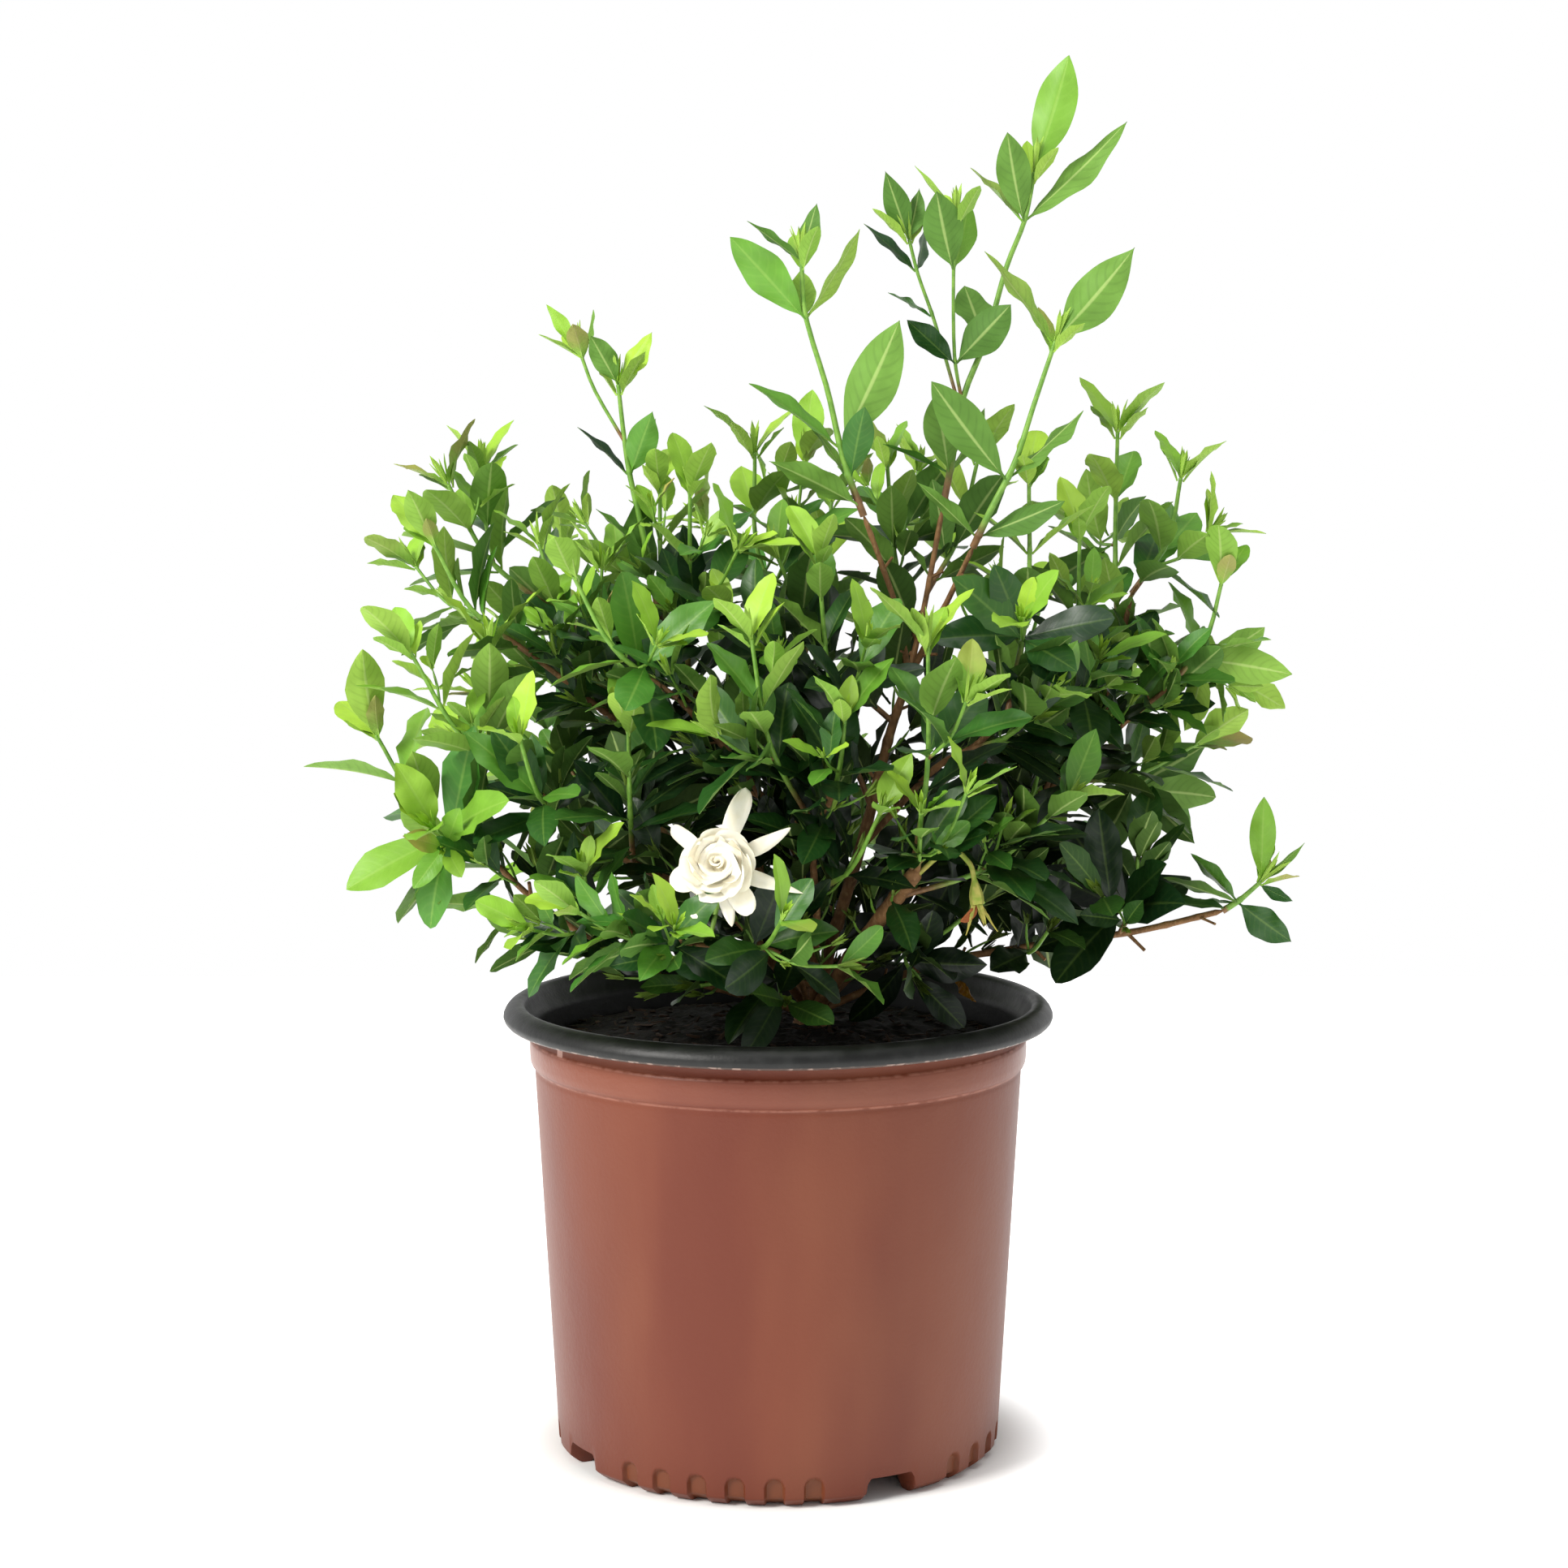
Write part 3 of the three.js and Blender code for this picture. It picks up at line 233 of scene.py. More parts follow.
class Shape:
    """The skin of one piece, gathered as closed lofts of rings, in millimetres."""

    def __init__(self, *finishes):
        self.finishes = finishes
        self.points, self.faces, self.slots, self.values = [], [], [], []
        self.count = 0

    def loft(self, rings, slot=0, thin=False, **values):
        """Joins rings that run counter-clockwise about the way they grow, and caps both ends.
        slot is one finish, or one for each face, and each value is spread over the points.
        A thin blade has the same triangles above and below, so that the two never cross."""
        rows, around = rings.shape[:2]
        index = self.count + np.arange(rows * around).reshape(rows, around)
        a, d = index[:-1], index[1:]
        b, c = np.roll(a, -1, 1), np.roll(d, -1, 1)
        slots = np.broadcast_to(slot, (rows - 1, around))
        if thin:
            above = np.arange(around) < around // 2
            self.faces += np.stack([a, b, np.where(above, c, d)], axis=-1).reshape(-1, 3).tolist()
            self.faces += np.stack([np.where(above, a, b), c, d], axis=-1).reshape(-1, 3).tolist()
            self.slots += [slots.ravel()]
        else:
            self.faces += np.stack([a, b, c, d], axis=-1).reshape(-1, 4).tolist()
        self.faces += [index[0][::-1].tolist(), index[-1].tolist()]
        self.slots += [slots.ravel(), [slots[0, 0], slots[-1, 0]]]
        self.points.append(rings.reshape(-1, 3))
        self.values.append(((rows, around), values))
        self.count += rows * around

    def piece(self, name, slot, nodes, crease=40):
        mesh = bpy.data.meshes.new(name)
        mesh.from_pydata((np.concatenate(self.points) / 1000).tolist(), [], self.faces)
        mesh.polygons.foreach_set("material_index", np.concatenate(self.slots))
        mesh.polygons.foreach_set("use_smooth", [True] * len(self.faces))
        mesh.set_sharp_from_angle(angle=math.radians(crease))
        for kind in sorted({kind for _, values in self.values for kind in values}):
            spread = [np.broadcast_to(values.get(kind, 0), size).ravel() for size, values in self.values]
            attribute = mesh.attributes.new(kind, "FLOAT", "POINT")
            attribute.data.foreach_set("value", np.concatenate(spread).astype(np.float32))
        for finish in self.finishes:
            mesh.materials.append(finish.material)
        mesh.update()
        made = stand(name, mesh)
        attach(made, "root")
        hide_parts(*nodes)


def pot_brown():
    finish = Finish("pot_brown", 0.28)
    flow, speck = finish.grain(70, (1, 1, 0.25)), finish.grain(2.2)
    brown = finish.blend(flow.rise(0.3, 0.7), "5e2817", "6a3420")
    brown = finish.blend(finish.grain(120, (1, 1, 0.6)).rise(0.45, 0.7) * 0.26, brown, "7a4a31")
    height = finish.axis("Z")
    # Painted highlight: a pale sheen over the band's bulge, which is also made less rough; pale patchy
    # lines run along the band's two creases.
    band = height.between(*BAND_SHEEN)
    creases = height.between(*BAND_CREASES[0]) + height.between(*BAND_CREASES[1])
    brown = finish.blend(band * 0.09 + creases * finish.grain(6).rise(0.3, 0.6) * 0.3, brown, "b07a68")
    # Painted shading: the flutes' recesses take a browner tone.
    brown = finish.blend(finish.value("hollow") * 0.4, brown, "6b4022")
    scar = abs(finish.axis("X") + GATE_LEFT).rise(0.0017, 0.0012) * height.between(*GATE_SCAR)
    scar = scar * finish.axis("Y").rise(0.001, -0.001)
    seam = height.rise(*COLOUR_SEAM) * finish.grain(5).rise(0.5, 0.62)
    pale = finish.blend((scar + seam * 0.5).at_most(0.8), brown, "c9a093")
    gloss = 0.34 + 0.12 * flow + 0.06 * speck - 0.12 * band
    return finish.coat(pale, gloss, speck + 3 * finish.grain(26), 0.12)


def pot_black():
    finish = Finish("pot_black", 0.36)
    dust, out = finish.grain(9, detail=5), finish.out_squared()
    black = finish.blend(dust.rise(0.4, 0.8), "0a0b0a", "1a1b1a")
    # Painted shade: the pot's inside is darkened to near black.
    black = finish.shade(black, 1 - 0.85 * out.rise(*RIM_INNER))
    scraped = finish.axis("Z").between(*RIM_SCRAPE) * out.rise(*RIM_OUTER)
    scraped = scraped * (0.25 + 0.75 * finish.grain(5).rise(0.5, 0.6))
    black = finish.blend(scraped * 0.6, black, "b39c90")
    return finish.coat(black, 0.34 + 0.2 * dust, finish.grain(1.6) + 2 * dust, 0.1)


def pot_columns():
    """Angles from the front towards the right: close together across a flute's or notch's edge."""
    angles = []
    for middles, steps in ((FLUTE_ANGLES, FLUTE_STEPS), (NOTCH_ANGLES, NOTCH_STEPS)):
        shifts = [side * math.degrees(step / FOOT_RADIUS) for side in (-1, 1) for step in steps]
        angles += [middle + shift for middle in middles for shift in shifts]
    angles = sorted({round(angle % 360, 3) for angle in angles})
    filled = []
    for angle, following in zip(angles, angles[1:] + [angles[0] + 360]):
        count = max(1, math.ceil((following - angle) / WIDEST_COLUMN))
        filled += [angle + (following - angle) * i / count for i in range(count)]
    return np.array(filled)


def aside(angles, middle):
    """How far round the foot each angle is from a flute's or notch's middle, in millimetres."""
    return np.abs((angles - middle + 180) % 360 - 180) * math.radians(FOOT_RADIUS)


def pot_rings():
    """The pot's rings of points from the underside up and back down inside, and how deep in a
    flute each point is."""
    wall = [(WALL_FOOT[0] + (z - WALL_FOOT[1]) * WALL_SLOPE, z) for z in WALL_HEIGHTS]
    profile = np.array([*UNDERSIDE, *FOOT, *wall, *BAND, *RIM, *INSIDE], float)
    angles = pot_columns()
    radius, height = (np.repeat(column[:, None], len(angles), 1) for column in profile.T)
    rows = np.arange(len(profile))
    outer = (rows >= len(UNDERSIDE) - 1) & (rows < len(UNDERSIDE) + len(FOOT) + len(WALL_HEIGHTS))
    low = (outer & (profile[:, 1] < FOOT_BLEND))[:, None]
    flute = np.zeros_like(radius)
    for middle in FLUTE_ANGLES:
        above = np.maximum(height - (FLUTE_HEIGHT - FLUTE_WIDTH / 2), 0)
        inside = FLUTE_WIDTH / 2 - np.hypot(aside(angles, middle), above)
        flute = np.maximum(flute, np.clip((inside + 0.35) / 1.2, 0, 1))
    deeper = 1 + 0.7 * np.clip((6 - height) / 5, 0, 1)
    radius = radius - low * FLUTE_DEPTH * deeper * flute * flute * (3 - 2 * flute)
    lift = np.zeros_like(angles)
    for middle in NOTCH_ANGLES:
        lift = np.maximum(lift, np.interp(aside(angles, middle), *NOTCH_EDGE))
    squeezed = lift + height * (FOOT_BLEND - lift) / FOOT_BLEND
    ceiling = lift * (0.83 + 0.17 * (radius - 98) / 20)
    outside = profile[:, 0] >= FOOT_RADIUS + 0.02
    base = (profile[:, 1] < FLOOR_TOP) & (profile[:, 0] >= FOOT_INNER) & ~outside
    height = np.where(base[:, None], np.maximum(height, ceiling), height)
    height = np.where(low & outside[:, None], squeezed, height)
    round_to = np.radians(angles) - math.pi / 2
    return np.stack([radius * np.cos(round_to), radius * np.sin(round_to), height], axis=-1), low * flute


rings, hollow = pot_rings()
black_from = len(rings) - len(RIM) - len(INSIDE)
is_black = (np.arange(len(rings) - 1) >= black_from).astype(int)[:, None]
pot = Shape(pot_brown(), pot_black())
pot.loft(rings, is_black, hollow=hollow)
pot.piece("pot", "pot", ["pot"], crease=50)

# Potting soil: dark composted bark that fills the pot to the wall and mounds towards the
# crown, with coarser bits of bark lying loose on top.
SOIL_PROFILE = ([0, 34, 80, 122, 127.9], [227.6, 226.6, 222.6, 217.4, 216])
SOIL_COLUMNS, SOIL_ROWS, SOIL_EDGE, BARK_BITS = 170, 62, 127.9, 420
# The lumps of the soil's top: how wide, which layer of the noise, and how high.
LUMPS = [(16, 1.7, 2.4), (6, 5.1, 1.5), (2.3, 9.3, 0.8)]
# Along a bit of bark: the share of its length, and the share of its full thickness there.
BARK_BIT_ENDS = ((-0.5, 0.55), (-0.32, 1), (0.3, 0.9), (0.5, 0.4))


def unit(vector):
    return vector / np.linalg.norm(vector)


def crumbs(x, y):
    """How far the top of the soil is lumped up or down at a place."""
    return sum(high * noise.noise(Vector((x / wide, y / wide, layer))) for wide, layer, high in LUMPS)


def soil_rings():
    turns = np.linspace(0, 2 * math.pi, SOIL_COLUMNS, endpoint=False)
    ring = np.stack([np.cos(turns), np.sin(turns), np.zeros_like(turns)], axis=-1)
    rows = [ring * r + [0, 0, z] for r, z in ((2, 12), (113.4, 12), (127.4, 205))]
    for radius in np.linspace(SOIL_EDGE, 1.5, SOIL_ROWS):
        row = ring * radius + [0, 0, np.interp(radius, *SOIL_PROFILE)]
        row[:, 2] += [crumbs(x, y) * min(1, (128.6 - radius) / 4) for x, y, _ in row]
        rows.append(row)
    return np.array(rows)


def bark_bit(draws, where):
    """A split flake of bark: a short prism of five uneven sides, lying any way up."""
    length, width, thick = draws.uniform(3, 12), draws.uniform(1.6, 4.2), draws.uniform(0.7, 1.8)
    along = unit(np.array([*draws.normal(size=2), draws.uniform(-0.35, 0.35)]))
    side = unit(np.cross([0, 0, 1], along))
    over = np.cross(along, side)
    turns = np.arange(5) * 2 * math.pi / 5
    rows = []
    for share, full in BARK_BIT_ENDS:
        uneven = draws.uniform(0.75, 1.2, 5) * full
        across = side * (np.cos(turns) * uneven * width / 2)[:, None]
        upward = over * (np.sin(turns) * uneven * thick / 2)[:, None]
        rows.append(where + along * length * share + across + upward)
    return np.array(rows)


def soil_finish():
    finish = Finish("soil", 0.25)
    crumb = finish.grain(3, detail=6)
    dark = finish.blend(crumb.rise(0.42, 0.7), "090705", "1d1610")
    return finish.coat(finish.blend(finish.grain(11).rise(0.62, 0.8), dark, "2a1e15"), 0.92, crumb, 1.2)


def bark_bit_finish():
    finish = Finish("bark_bits", 0.25)
    fibre = finish.grain(1.6, detail=5)
    brown = finish.blend(finish.grain(14).rise(0.35, 0.65), "17100b", "3b2a1f")
    return finish.coat(finish.blend(fibre.rise(0.5, 0.8) * 0.5, brown, "54412f"), 0.88, fibre, 0.5)


soil = Shape(soil_finish(), bark_bit_finish())
soil.loft(soil_rings())
draws = np.random.default_rng(7)
for _ in range(BARK_BITS):
    radius, turn = 124 * math.sqrt(draws.uniform()), draws.uniform(0, 2 * math.pi)
    x, y = radius * math.cos(turn), radius * math.sin(turn)
    z = np.interp(radius, *SOIL_PROFILE) + crumbs(x, y) + 0.3
    soil.loft(bark_bit(draws, np.array([x, y, z])), 1)
soil.piece("soil", "soil", ["soil"])

# Woody frame: the crown stands in the soil and every brown limb grows from it or from an
# earlier limb. Each limb is the one it grows from with the share along it, its radii at
# both ends, and the points that it bends through.
CROWN = [(18, 4, 200), (18, 4, 219), (18, 4, 238)]
CROWN_ROOT, CROWN_TOP_SHARE = np.array([18, 4, 178]), 0.9
CROWN_THICK, CROWN_TAPER, CROWN_LUMPS = 12, 3.5, 0.8
LIMBS = {
    "leader": (
        ["crown", 1], [4.1, 2.3],
        [[30, -8, 278], [46, -22, 335], [58, -20, 383], [68, -15, 412]],
    ),
    "tall": (["leader", 1], [1.8, 1.5], [[77, -10, 453], [86, 0, 500]]),
    "leftFork": (["leader", 1], [1.8, 1.4], [[63, -28, 444], [53, -35, 474], [44, -39, 498]]),
    "rightFork": (["leader", 1], [1.9, 1.4], [[88, -30, 455], [100, -39, 482]]),
    "stump": (["crown", 1], [4.6, 4.4], [[40, -42, 272], [56, -72, 300], [70, -92, 322]]),
    "front": (["crown", 1], [2.4, 1.9], [[20, -50, 290], [18, -78, 334], [27, -90, 358]]),
    "frontLow": (
        ["crown", 1], [2, 1.4],
        [[5, -60, 272], [-20, -98, 284], [-50, -114, 288], [-72, -110, 291]],
    ),
    "frontLeft": (
        ["crown", 1], [2.7, 1.6],
        [[17, -38, 302], [0, -58, 342], [-24, -68, 378], [-51, -70, 407]],
    ),
    "midRight": (["leader", 0.45], [2, 1.6], [[80, -40, 367], [100, -48, 380], [117, -54, 396]]),
    "right": (["crown", 1], [3.1, 2.2], [[80, 20, 292], [119, 30, 320], [154, 35, 357]]),
    "rightHigh": (["right", 1], [1.8, 1.4], [[172, 33, 380], [184, 30, 431], [189, 30, 455]]),
    "rightWide": (["right", 1], [1.8, 1.3], [[186, 22, 387], [207, 10, 406]]),
    "rightLow": (
        ["crown", 1], [2.4, 1.8],
        [[80, 14, 256], [126, 10, 266], [189, 5, 276], [236, 0, 288]],
    ),
    "left": (
        ["crown", 1], [3.1, 1.9],
        [[-13, 18, 312], [-43, 24, 350], [-69, 20, 380], [-91, 10, 392]],
    ),
    "leftWide": (["left", 1], [1.8, 1.4], [[-112, 2, 410], [-130, 0, 424]]),
    "leftHigh": (["left", 1], [1.8, 1.4], [[-104, 38, 424], [-121, 50, 444]]),
    "leftTall": (["crown", 1], [2.7, 1.8], [[-10, 38, 310], [-40, 34, 380], [-60, 22, 428]]),
    "leftMid": (
        ["crown", 1], [2.6, 1.8],
        [[-25, -48, 294], [-66, -50, 316], [-107, -42, 336], [-119, -40, 352]],
    ),
    "leftLow": (
        ["crown", 1], [2.7, 1.6],
        [[-30, -45, 254], [-68, -60, 266], [-117, -40, 292], [-150, -40, 322]],
    ),
    "back": (["crown", 1], [2.7, 1.9], [[14, 60, 320], [8, 80, 378], [12, 80, 424]]),
    "backLeft": (["crown", 1], [2.7, 1.9], [[-30, 60, 285], [-75, 110, 330], [-100, 130, 375]]),
    "backRight": (["crown", 1], [2.7, 1.9], [[60, 60, 290], [100, 110, 340], [118, 125, 385]]),
    "backLow": (["crown", 1], [2.3, 1.6], [[30, 90, 268], [25, 140, 292]]),
}
STUB_STEPS = ((0, 1.3), (0.15, 1), (0.8, 0.85), (1, 0.9))
KNOT_PITCH, KNOT_SWELL = 22, 0.16


def swung(first, second, angle):
    """The way that is turned from first towards second, by an angle in radians."""
    return first * math.cos(angle) + second * math.sin(angle)


def circle(side, over, sides, turn=0):
    """Points of a circle of radius 1, given the two ways across its axis."""
    angles = turn + np.arange(sides) * 2 * math.pi / sides
    return side * np.cos(angles)[:, None] + over * np.sin(angles)[:, None]


class Route:
    """A smooth line through its points, the same line that the solids follow."""

    def __init__(self, points):
        self.points = np.array(points, float)

    def at(self, t):
        last = len(self.points) - 1
        step = min(int(t * last), last - 1)
        w = t * last - step
        here, there = self.points[step], self.points[step + 1]
        before = self.points[step - 1] if step else 2 * here - there
        after = self.points[step + 2] if step + 2 <= last else 2 * there - here
        out, back = (there - before) / 2, (after - here) / 2
        return here + out * w + (3 * (there - here) - 2 * out - back) * w ** 2 + (
            2 * (here - there) + out + back) * w ** 3

    def span(self):
        return np.linalg.norm(self.points[-1] - self.points[0])

    def frame(self, t):
        """The way that the line runs there, and the two ways across it."""
        x, y, z = np.abs(self.at(1) - self.at(0))
        across = (0, 1, 0) if y <= x and y <= z else (1, 0, 0) if x <= z else (0, 0, 1)
        along = unit(self.at(min(t + 0.01, 1)) - self.at(max(t - 0.01, 0)))
        side = unit(np.cross(across, along))
        return along, side, np.cross(along, side)

    def out(self, t, turn):
        """The way out from the line there, turned round it."""
        return swung(*self.frame(t)[1:], turn)

    def ring(self, t, radius, sides, turn=0):
        return self.at(t) + radius * circle(*self.frame(t)[1:], sides, turn)


def place_on(limb, share):
    if limb == "crown":
        return CROWN_ROOT + (np.array(CROWN[-1]) - CROWN_ROOT) * share * CROWN_TOP_SHARE
    return limb_routes[limb].at(share)


def bark():
    """Bark runs from green on new wood to brown, and to grey-brown on the oldest."""
    finish = Finish("bark", 0.3)
    age = finish.value("age")
    ridge, mottle = finish.grain(1.8, (1, 1, 0.35), 5), finish.grain(8)
    new = finish.blend(age.rise(0.05, 0.35), "71963a", "7b6a3e")
    brown = finish.blend(mottle.rise(0.35, 0.65), "654729", "835f3b")
    old = finish.blend(ridge.rise(0.5, 0.75) * 0.7, brown, "937650")
    return finish.coat(finish.blend(age.rise(0.3, 0.55), new, old), 0.72, ridge + 0.6 * mottle, 0.55)


def lay_stub(shape, root, out, length, radius):
    """A cut or broken twig end."""
    side = unit(np.cross(out, (0.3, 0.5, 0.8)))
    across = circle(side, np.cross(out, side), 7)
    rows = [root + out * length * share + across * radius * full for share, full in STUB_STEPS]
    shape.loft(np.array(rows), age=0.8)


wood = Shape(bark())
crown, rows = Route(CROWN), []
for t in np.linspace(0, 1, 8):
    rows.append(crown.ring(t, CROWN_THICK - CROWN_TAPER * t + CROWN_LUMPS * math.sin(t * 11), 14))
wood.loft(np.array(rows), age=1)
limb_routes = {}
draws = np.random.default_rng(3)
for name, (root, (thick_root, thick_tip), points) in LIMBS.items():
    route = limb_routes[name] = Route([place_on(*root), *points])
    steps = np.linspace(0, 1, max(10, int(route.span() / 4)))
    thick = thick_root + (thick_tip - thick_root) * steps
    knots = np.arange(0.15, 1, KNOT_PITCH / route.span())
    rows = []
    for t, radius in zip(steps, thick):
        knot = np.exp(-(((knots - t) * route.span() / 2) ** 2)).sum()
        rows.append(route.ring(t, radius * (0.9 + KNOT_SWELL * knot) * (0.35 if t == 1 else 1), 10))
    wood.loft(np.array(rows), age=np.interp(thick, (1.3, 2), (0.55, 1))[:, None])
    for knot in knots[::2]:
        out = unit(route.frame(knot)[0] * 0.7 + route.out(knot, draws.uniform(0, 2 * math.pi)))
        lay_stub(wood, route.at(knot), out, draws.uniform(5, 15), draws.uniform(0.7, 1.2))
wood.piece("wood", "bark", ["wood"])

# Leafy shoots: green stems with opposite leaves, each pair a quarter turn from the last,
# ending in a tuft of unopened leaves. A row is the limb and the share along it where the
# stem starts, the length of its leaves, its tip, and its forks.
SHOOTS = [
    ("leftWide", 1, 36, [-181, 0, 483], [0.4, [-193, 22, 470]]),
    ("leftHigh", 1, 36, [-178, 50, 513], [0.45, [-160, 62, 520]]),
    ("leftHigh", 0.6, 34, [-120, 112, 478]),
    ("frontLeft", 1, 34, [-103, -72, 469], [0.3, [-60, -98, 436]]),
    ("leftMid", 1, 38, [-189, -40, 428], [0.35, [-150, -22, 430]]),
    ("leftMid", 0.85, 36, [-129, -90, 388]),
    ("leftMid", 0.55, 40, [-75, -84, 392], [0.3, [-66, -14, 352]]),
    ("leftLow", 1, 42, [-210, -20, 384], [0.25, [-176, -52, 338]]),
    ("leftLow", 0.62, 34, [-97, -94, 320], [0.4, [-124, -92, 292]]),
    ("left", 0.85, 34, [-127, 20, 482], [0.35, [-92, -8, 470]]),
    ("left", 0.6, 36, [-178, 84, 372], [0.45, [-140, 80, 425]], [0.2, [-74, 66, 420]]),
    ("frontLow", 0.8, 30, [-50, -138, 299], [0.3, [-98, -126, 306]]),
    ("frontLow", 0.45, 32, [2, -140, 304], [0.4, [30, -132, 280]]),
    ("front", 1, 34, [33, -116, 400]),
    ("front", 0.75, 36, [-13, -117, 440], [0.43, [-30, -112, 392]]),
    ("front", 0.45, 32, [50, -124, 354]),
    ("leader", 0.55, 34, [20, -76, 478], [0.45, [44, -96, 436]], [0.2, [4, -22, 398]]),
    ("leader", 0.8, 36, [0, -24, 476], [0.4, [-24, -52, 452]]),
    ("stump", 1, 30, [70, -132, 356], [0.2, [92, -134, 366]]),
    ("stump", 0.93, 40, [74, -112, 436], [0.55, [92, -128, 410]]),
    ("stump", 0.75, 36, [146, -84, 358], [0.45, [112, -98, 344]]),
    ("leftTall", 0.8, 34, [-45, -38, 512], [0.5, [-20, -64, 482]]),
    ("leftTall", 0.95, 32, [-62, 2, 512], [0.4, [-104, 44, 492]]),
    ("back", 1, 38, [-13, 80, 530], [0.3, [14, 44, 526]]),
    ("back", 0.85, 34, [30, 130, 502], [0.5, [-42, 122, 490]]),
    ("back", 0.55, 36, [22, 165, 420], [0.5, [-34, 156, 410]]),
    ("tall", 0.25, 32, [58, 28, 524], [0.55, [76, 62, 520]]),
    ("tall", 0.55, 34, [107, 42, 526]),
    ("midRight", 1, 36, [129, -32, 517], [0.35, [122, -84, 446]]),
    ("midRight", 0.6, 38, [136, -74, 408]),
    ("right", 0.9, 34, [158, -4, 488], [0.4, [166, -30, 424]]),
    ("rightHigh", 1, 34, [214, 25, 517], [0.25, [229, 20, 488]]),
    ("rightHigh", 0.6, 36, [182, 44, 541], [0.5, [168, 98, 492]]),
    ("rightWide", 1, 34, [233, 0, 462], [0.35, [237, 20, 412]]),
    ("right", 0.97, 38, [226, 34, 374], [0.45, [206, 78, 344]]),
    ("right", 0.55, 36, [122, -26, 330], [0.55, [140, 0, 388]], [0.3, [98, 36, 300]]),
    ("rightLow", 0.72, 42, [190, -6, 318], [0.4, [168, -44, 302]]),
    ("rightLow", 0.5, 34, [140, -44, 284], [0.5, [152, 54, 300]]),
    ("backLeft", 1, 36, [-138, 152, 432], [0.4, [-92, 158, 458]]),
    ("backLeft", 0.75, 36, [-168, 112, 396], [0.5, [-134, 150, 334]]),
    ("backLeft", 0.4, 34, [-60, 158, 318], [0.5, [-126, 96, 300]]),
    ("backRight", 1, 36, [150, 150, 442], [0.4, [96, 152, 470]]),
    ("backRight", 0.75, 36, [188, 112, 402], [0.5, [154, 150, 342]]),
    ("backRight", 0.4, 34, [158, 96, 300]),
    ("backLow", 1, 36, [28, 188, 336], [0.45, [82, 172, 310]]),
    ("front", 0.1, 34, [-40, -72, 260], [0.4, [4, -86, 254]]),
    ("stump", 0.3, 38, [106, -60, 302], [0.35, [70, -58, 262]]),
]

# The tall shoots stand above and beside the bush. Each has one stem from a limb, and forks
# from a share along that stem, with each leaf's share along, reach, width and turn.
TALL_SHOOTS = {
    "tallest": [
        (["tall", 1], [
            [91, 0, 526], [97, 5, 559], [109, 5, 590], [119, 5, 626], [128, 0, 650], [133, 0, 675],
        ], [
            [1, [19, -3, 58], 22, 165], [1, [-7, 8, 31], 13, 100], [0.84, [-12, -8, 44], 18, 172],
            [0.84, [56, 8, 48], 17, 140], [0.84, [-26, 15, 30], 14, 70], [0.5, [33, -6, 38], 17, 160],
            [0.5, [-9, 20, 30], 21, 25], [0.14, [-7, -10, 41], 20, 172], [0.14, [20, 8, 32], 14, 60],
            [0.14, [-33, 2, 16], 10, 110],
        ]),
        (0.3, [[83, 20, 597], [74, 25, 623], [69, 25, 642]], [
            [1, [-13, -4, 35], 14, 168], [1, [7, 3, 26], 12, 150], [0.72, [-27, 5, 26], 13, 60],
            [0.72, [6, 14, 24], 12, 60], [0.4, [-22, 8, 14], 10, 100],
        ]),
        (0.32, [[92, 0, 581], [91, -5, 621], [92, -5, 650]], [
            [0.72, [-11, -7, 39], 21, 175], [0.72, [10, 12, 35], 15, 30], [1, [-19, 0, 29], 8, 110],
            [1, [25, 0, 27], 9, 110], [0.3, [28, -5, 30], 21, 165], [0.3, [-25, -8, 23], 14, 150],
        ]),
    ],
    "tall_right": [
        (["rightFork", 1], [[109, -45, 502], [121, -45, 526], [130, -45, 554], [141, -45, 587]], [
            [1, [41, -8, 44], 24, 172], [1, [-33, 5, 48], 18, 60], [1, [-4, 2, 24], 12, 150],
            [1, [6, 6, 32], 12, 120], [0.42, [-41, -8, 48], 22, 165], [0.42, [41, 6, 33], 18, 110],
            [0.08, [44, -6, 17], 15, 150], [0.08, [-29, -3, 29], 12, 130],
        ]),
    ],
    "tall_left": [
        (["leftFork", 1], [
            [36, -40, 519], [31, -40, 537], [25, -40, 563], [14, -40, 600], [12, -38, 628],
        ], [
            [0.8, [-38, -6, 41], 21, 162], [0.8, [29, 5, 44], 18, 65], [0.8, [-2, 13, 26], 14, 5],
            [1, [-27, 0, 20], 9, 120], [1, [8, 0, 28], 12, 150], [0.38, [31, -9, 62], 26, 170],
            [0.38, [-44, 2, 34], 20, 70], [0.2, [5, -9, 36], 16, 175], [0.2, [-19, 8, 32], 9, 60],
            [0.07, [-44, -12, 25], 18, 140],
        ]),
    ],
    "tall_far_left": [
        (["leftTall", 1], [
            [-69, 12, 474], [-72, 10, 491], [-78, 10, 518], [-81, 10, 538], [-84, 10, 566],
        ], [
            [0.62, [11, -8, 33], 17, 170], [0.62, [-25, 4, 26], 11, 70], [0.62, [15, 12, 28], 11, 20],
            [1, [-14, -7, 25], 14, 170], [1, [18, -3, 27], 13, 150], [1, [3, 2, 40], 12, 150],
            [0.24, [12, -8, 34], 16, 170], [0.24, [-24, -4, 24], 13, 110],
        ]),
        (0.78, [[-96, 10, 562], [-103, 10, 580]], [
            [1, [-17, 0, 28], 9, 150], [1, [-22, 3, 13], 9, 80], [1, [7, 0, 25], 8, 110],
        ]),
    ],
    "low_right_tip": [
        (["rightLow", 1], [[245, -1, 294], [256, -2, 304]], [
            [1, [1, 2, 45], 14, 170], [1, [24, 0, 19], 8, 110], [1, [16, -6, -9], 9, 40],
            [0.5, [26, -9, -20], 18, 20], [0.5, [-40, -6, 15], 13, 120], [0.5, [-24, -6, 27], 12, 130],
            [0.5, [-33, -4, 2], 9, 100], [1, [10, 10, 30], 10, 120],
        ]),
    ],
}
BOWS = 16
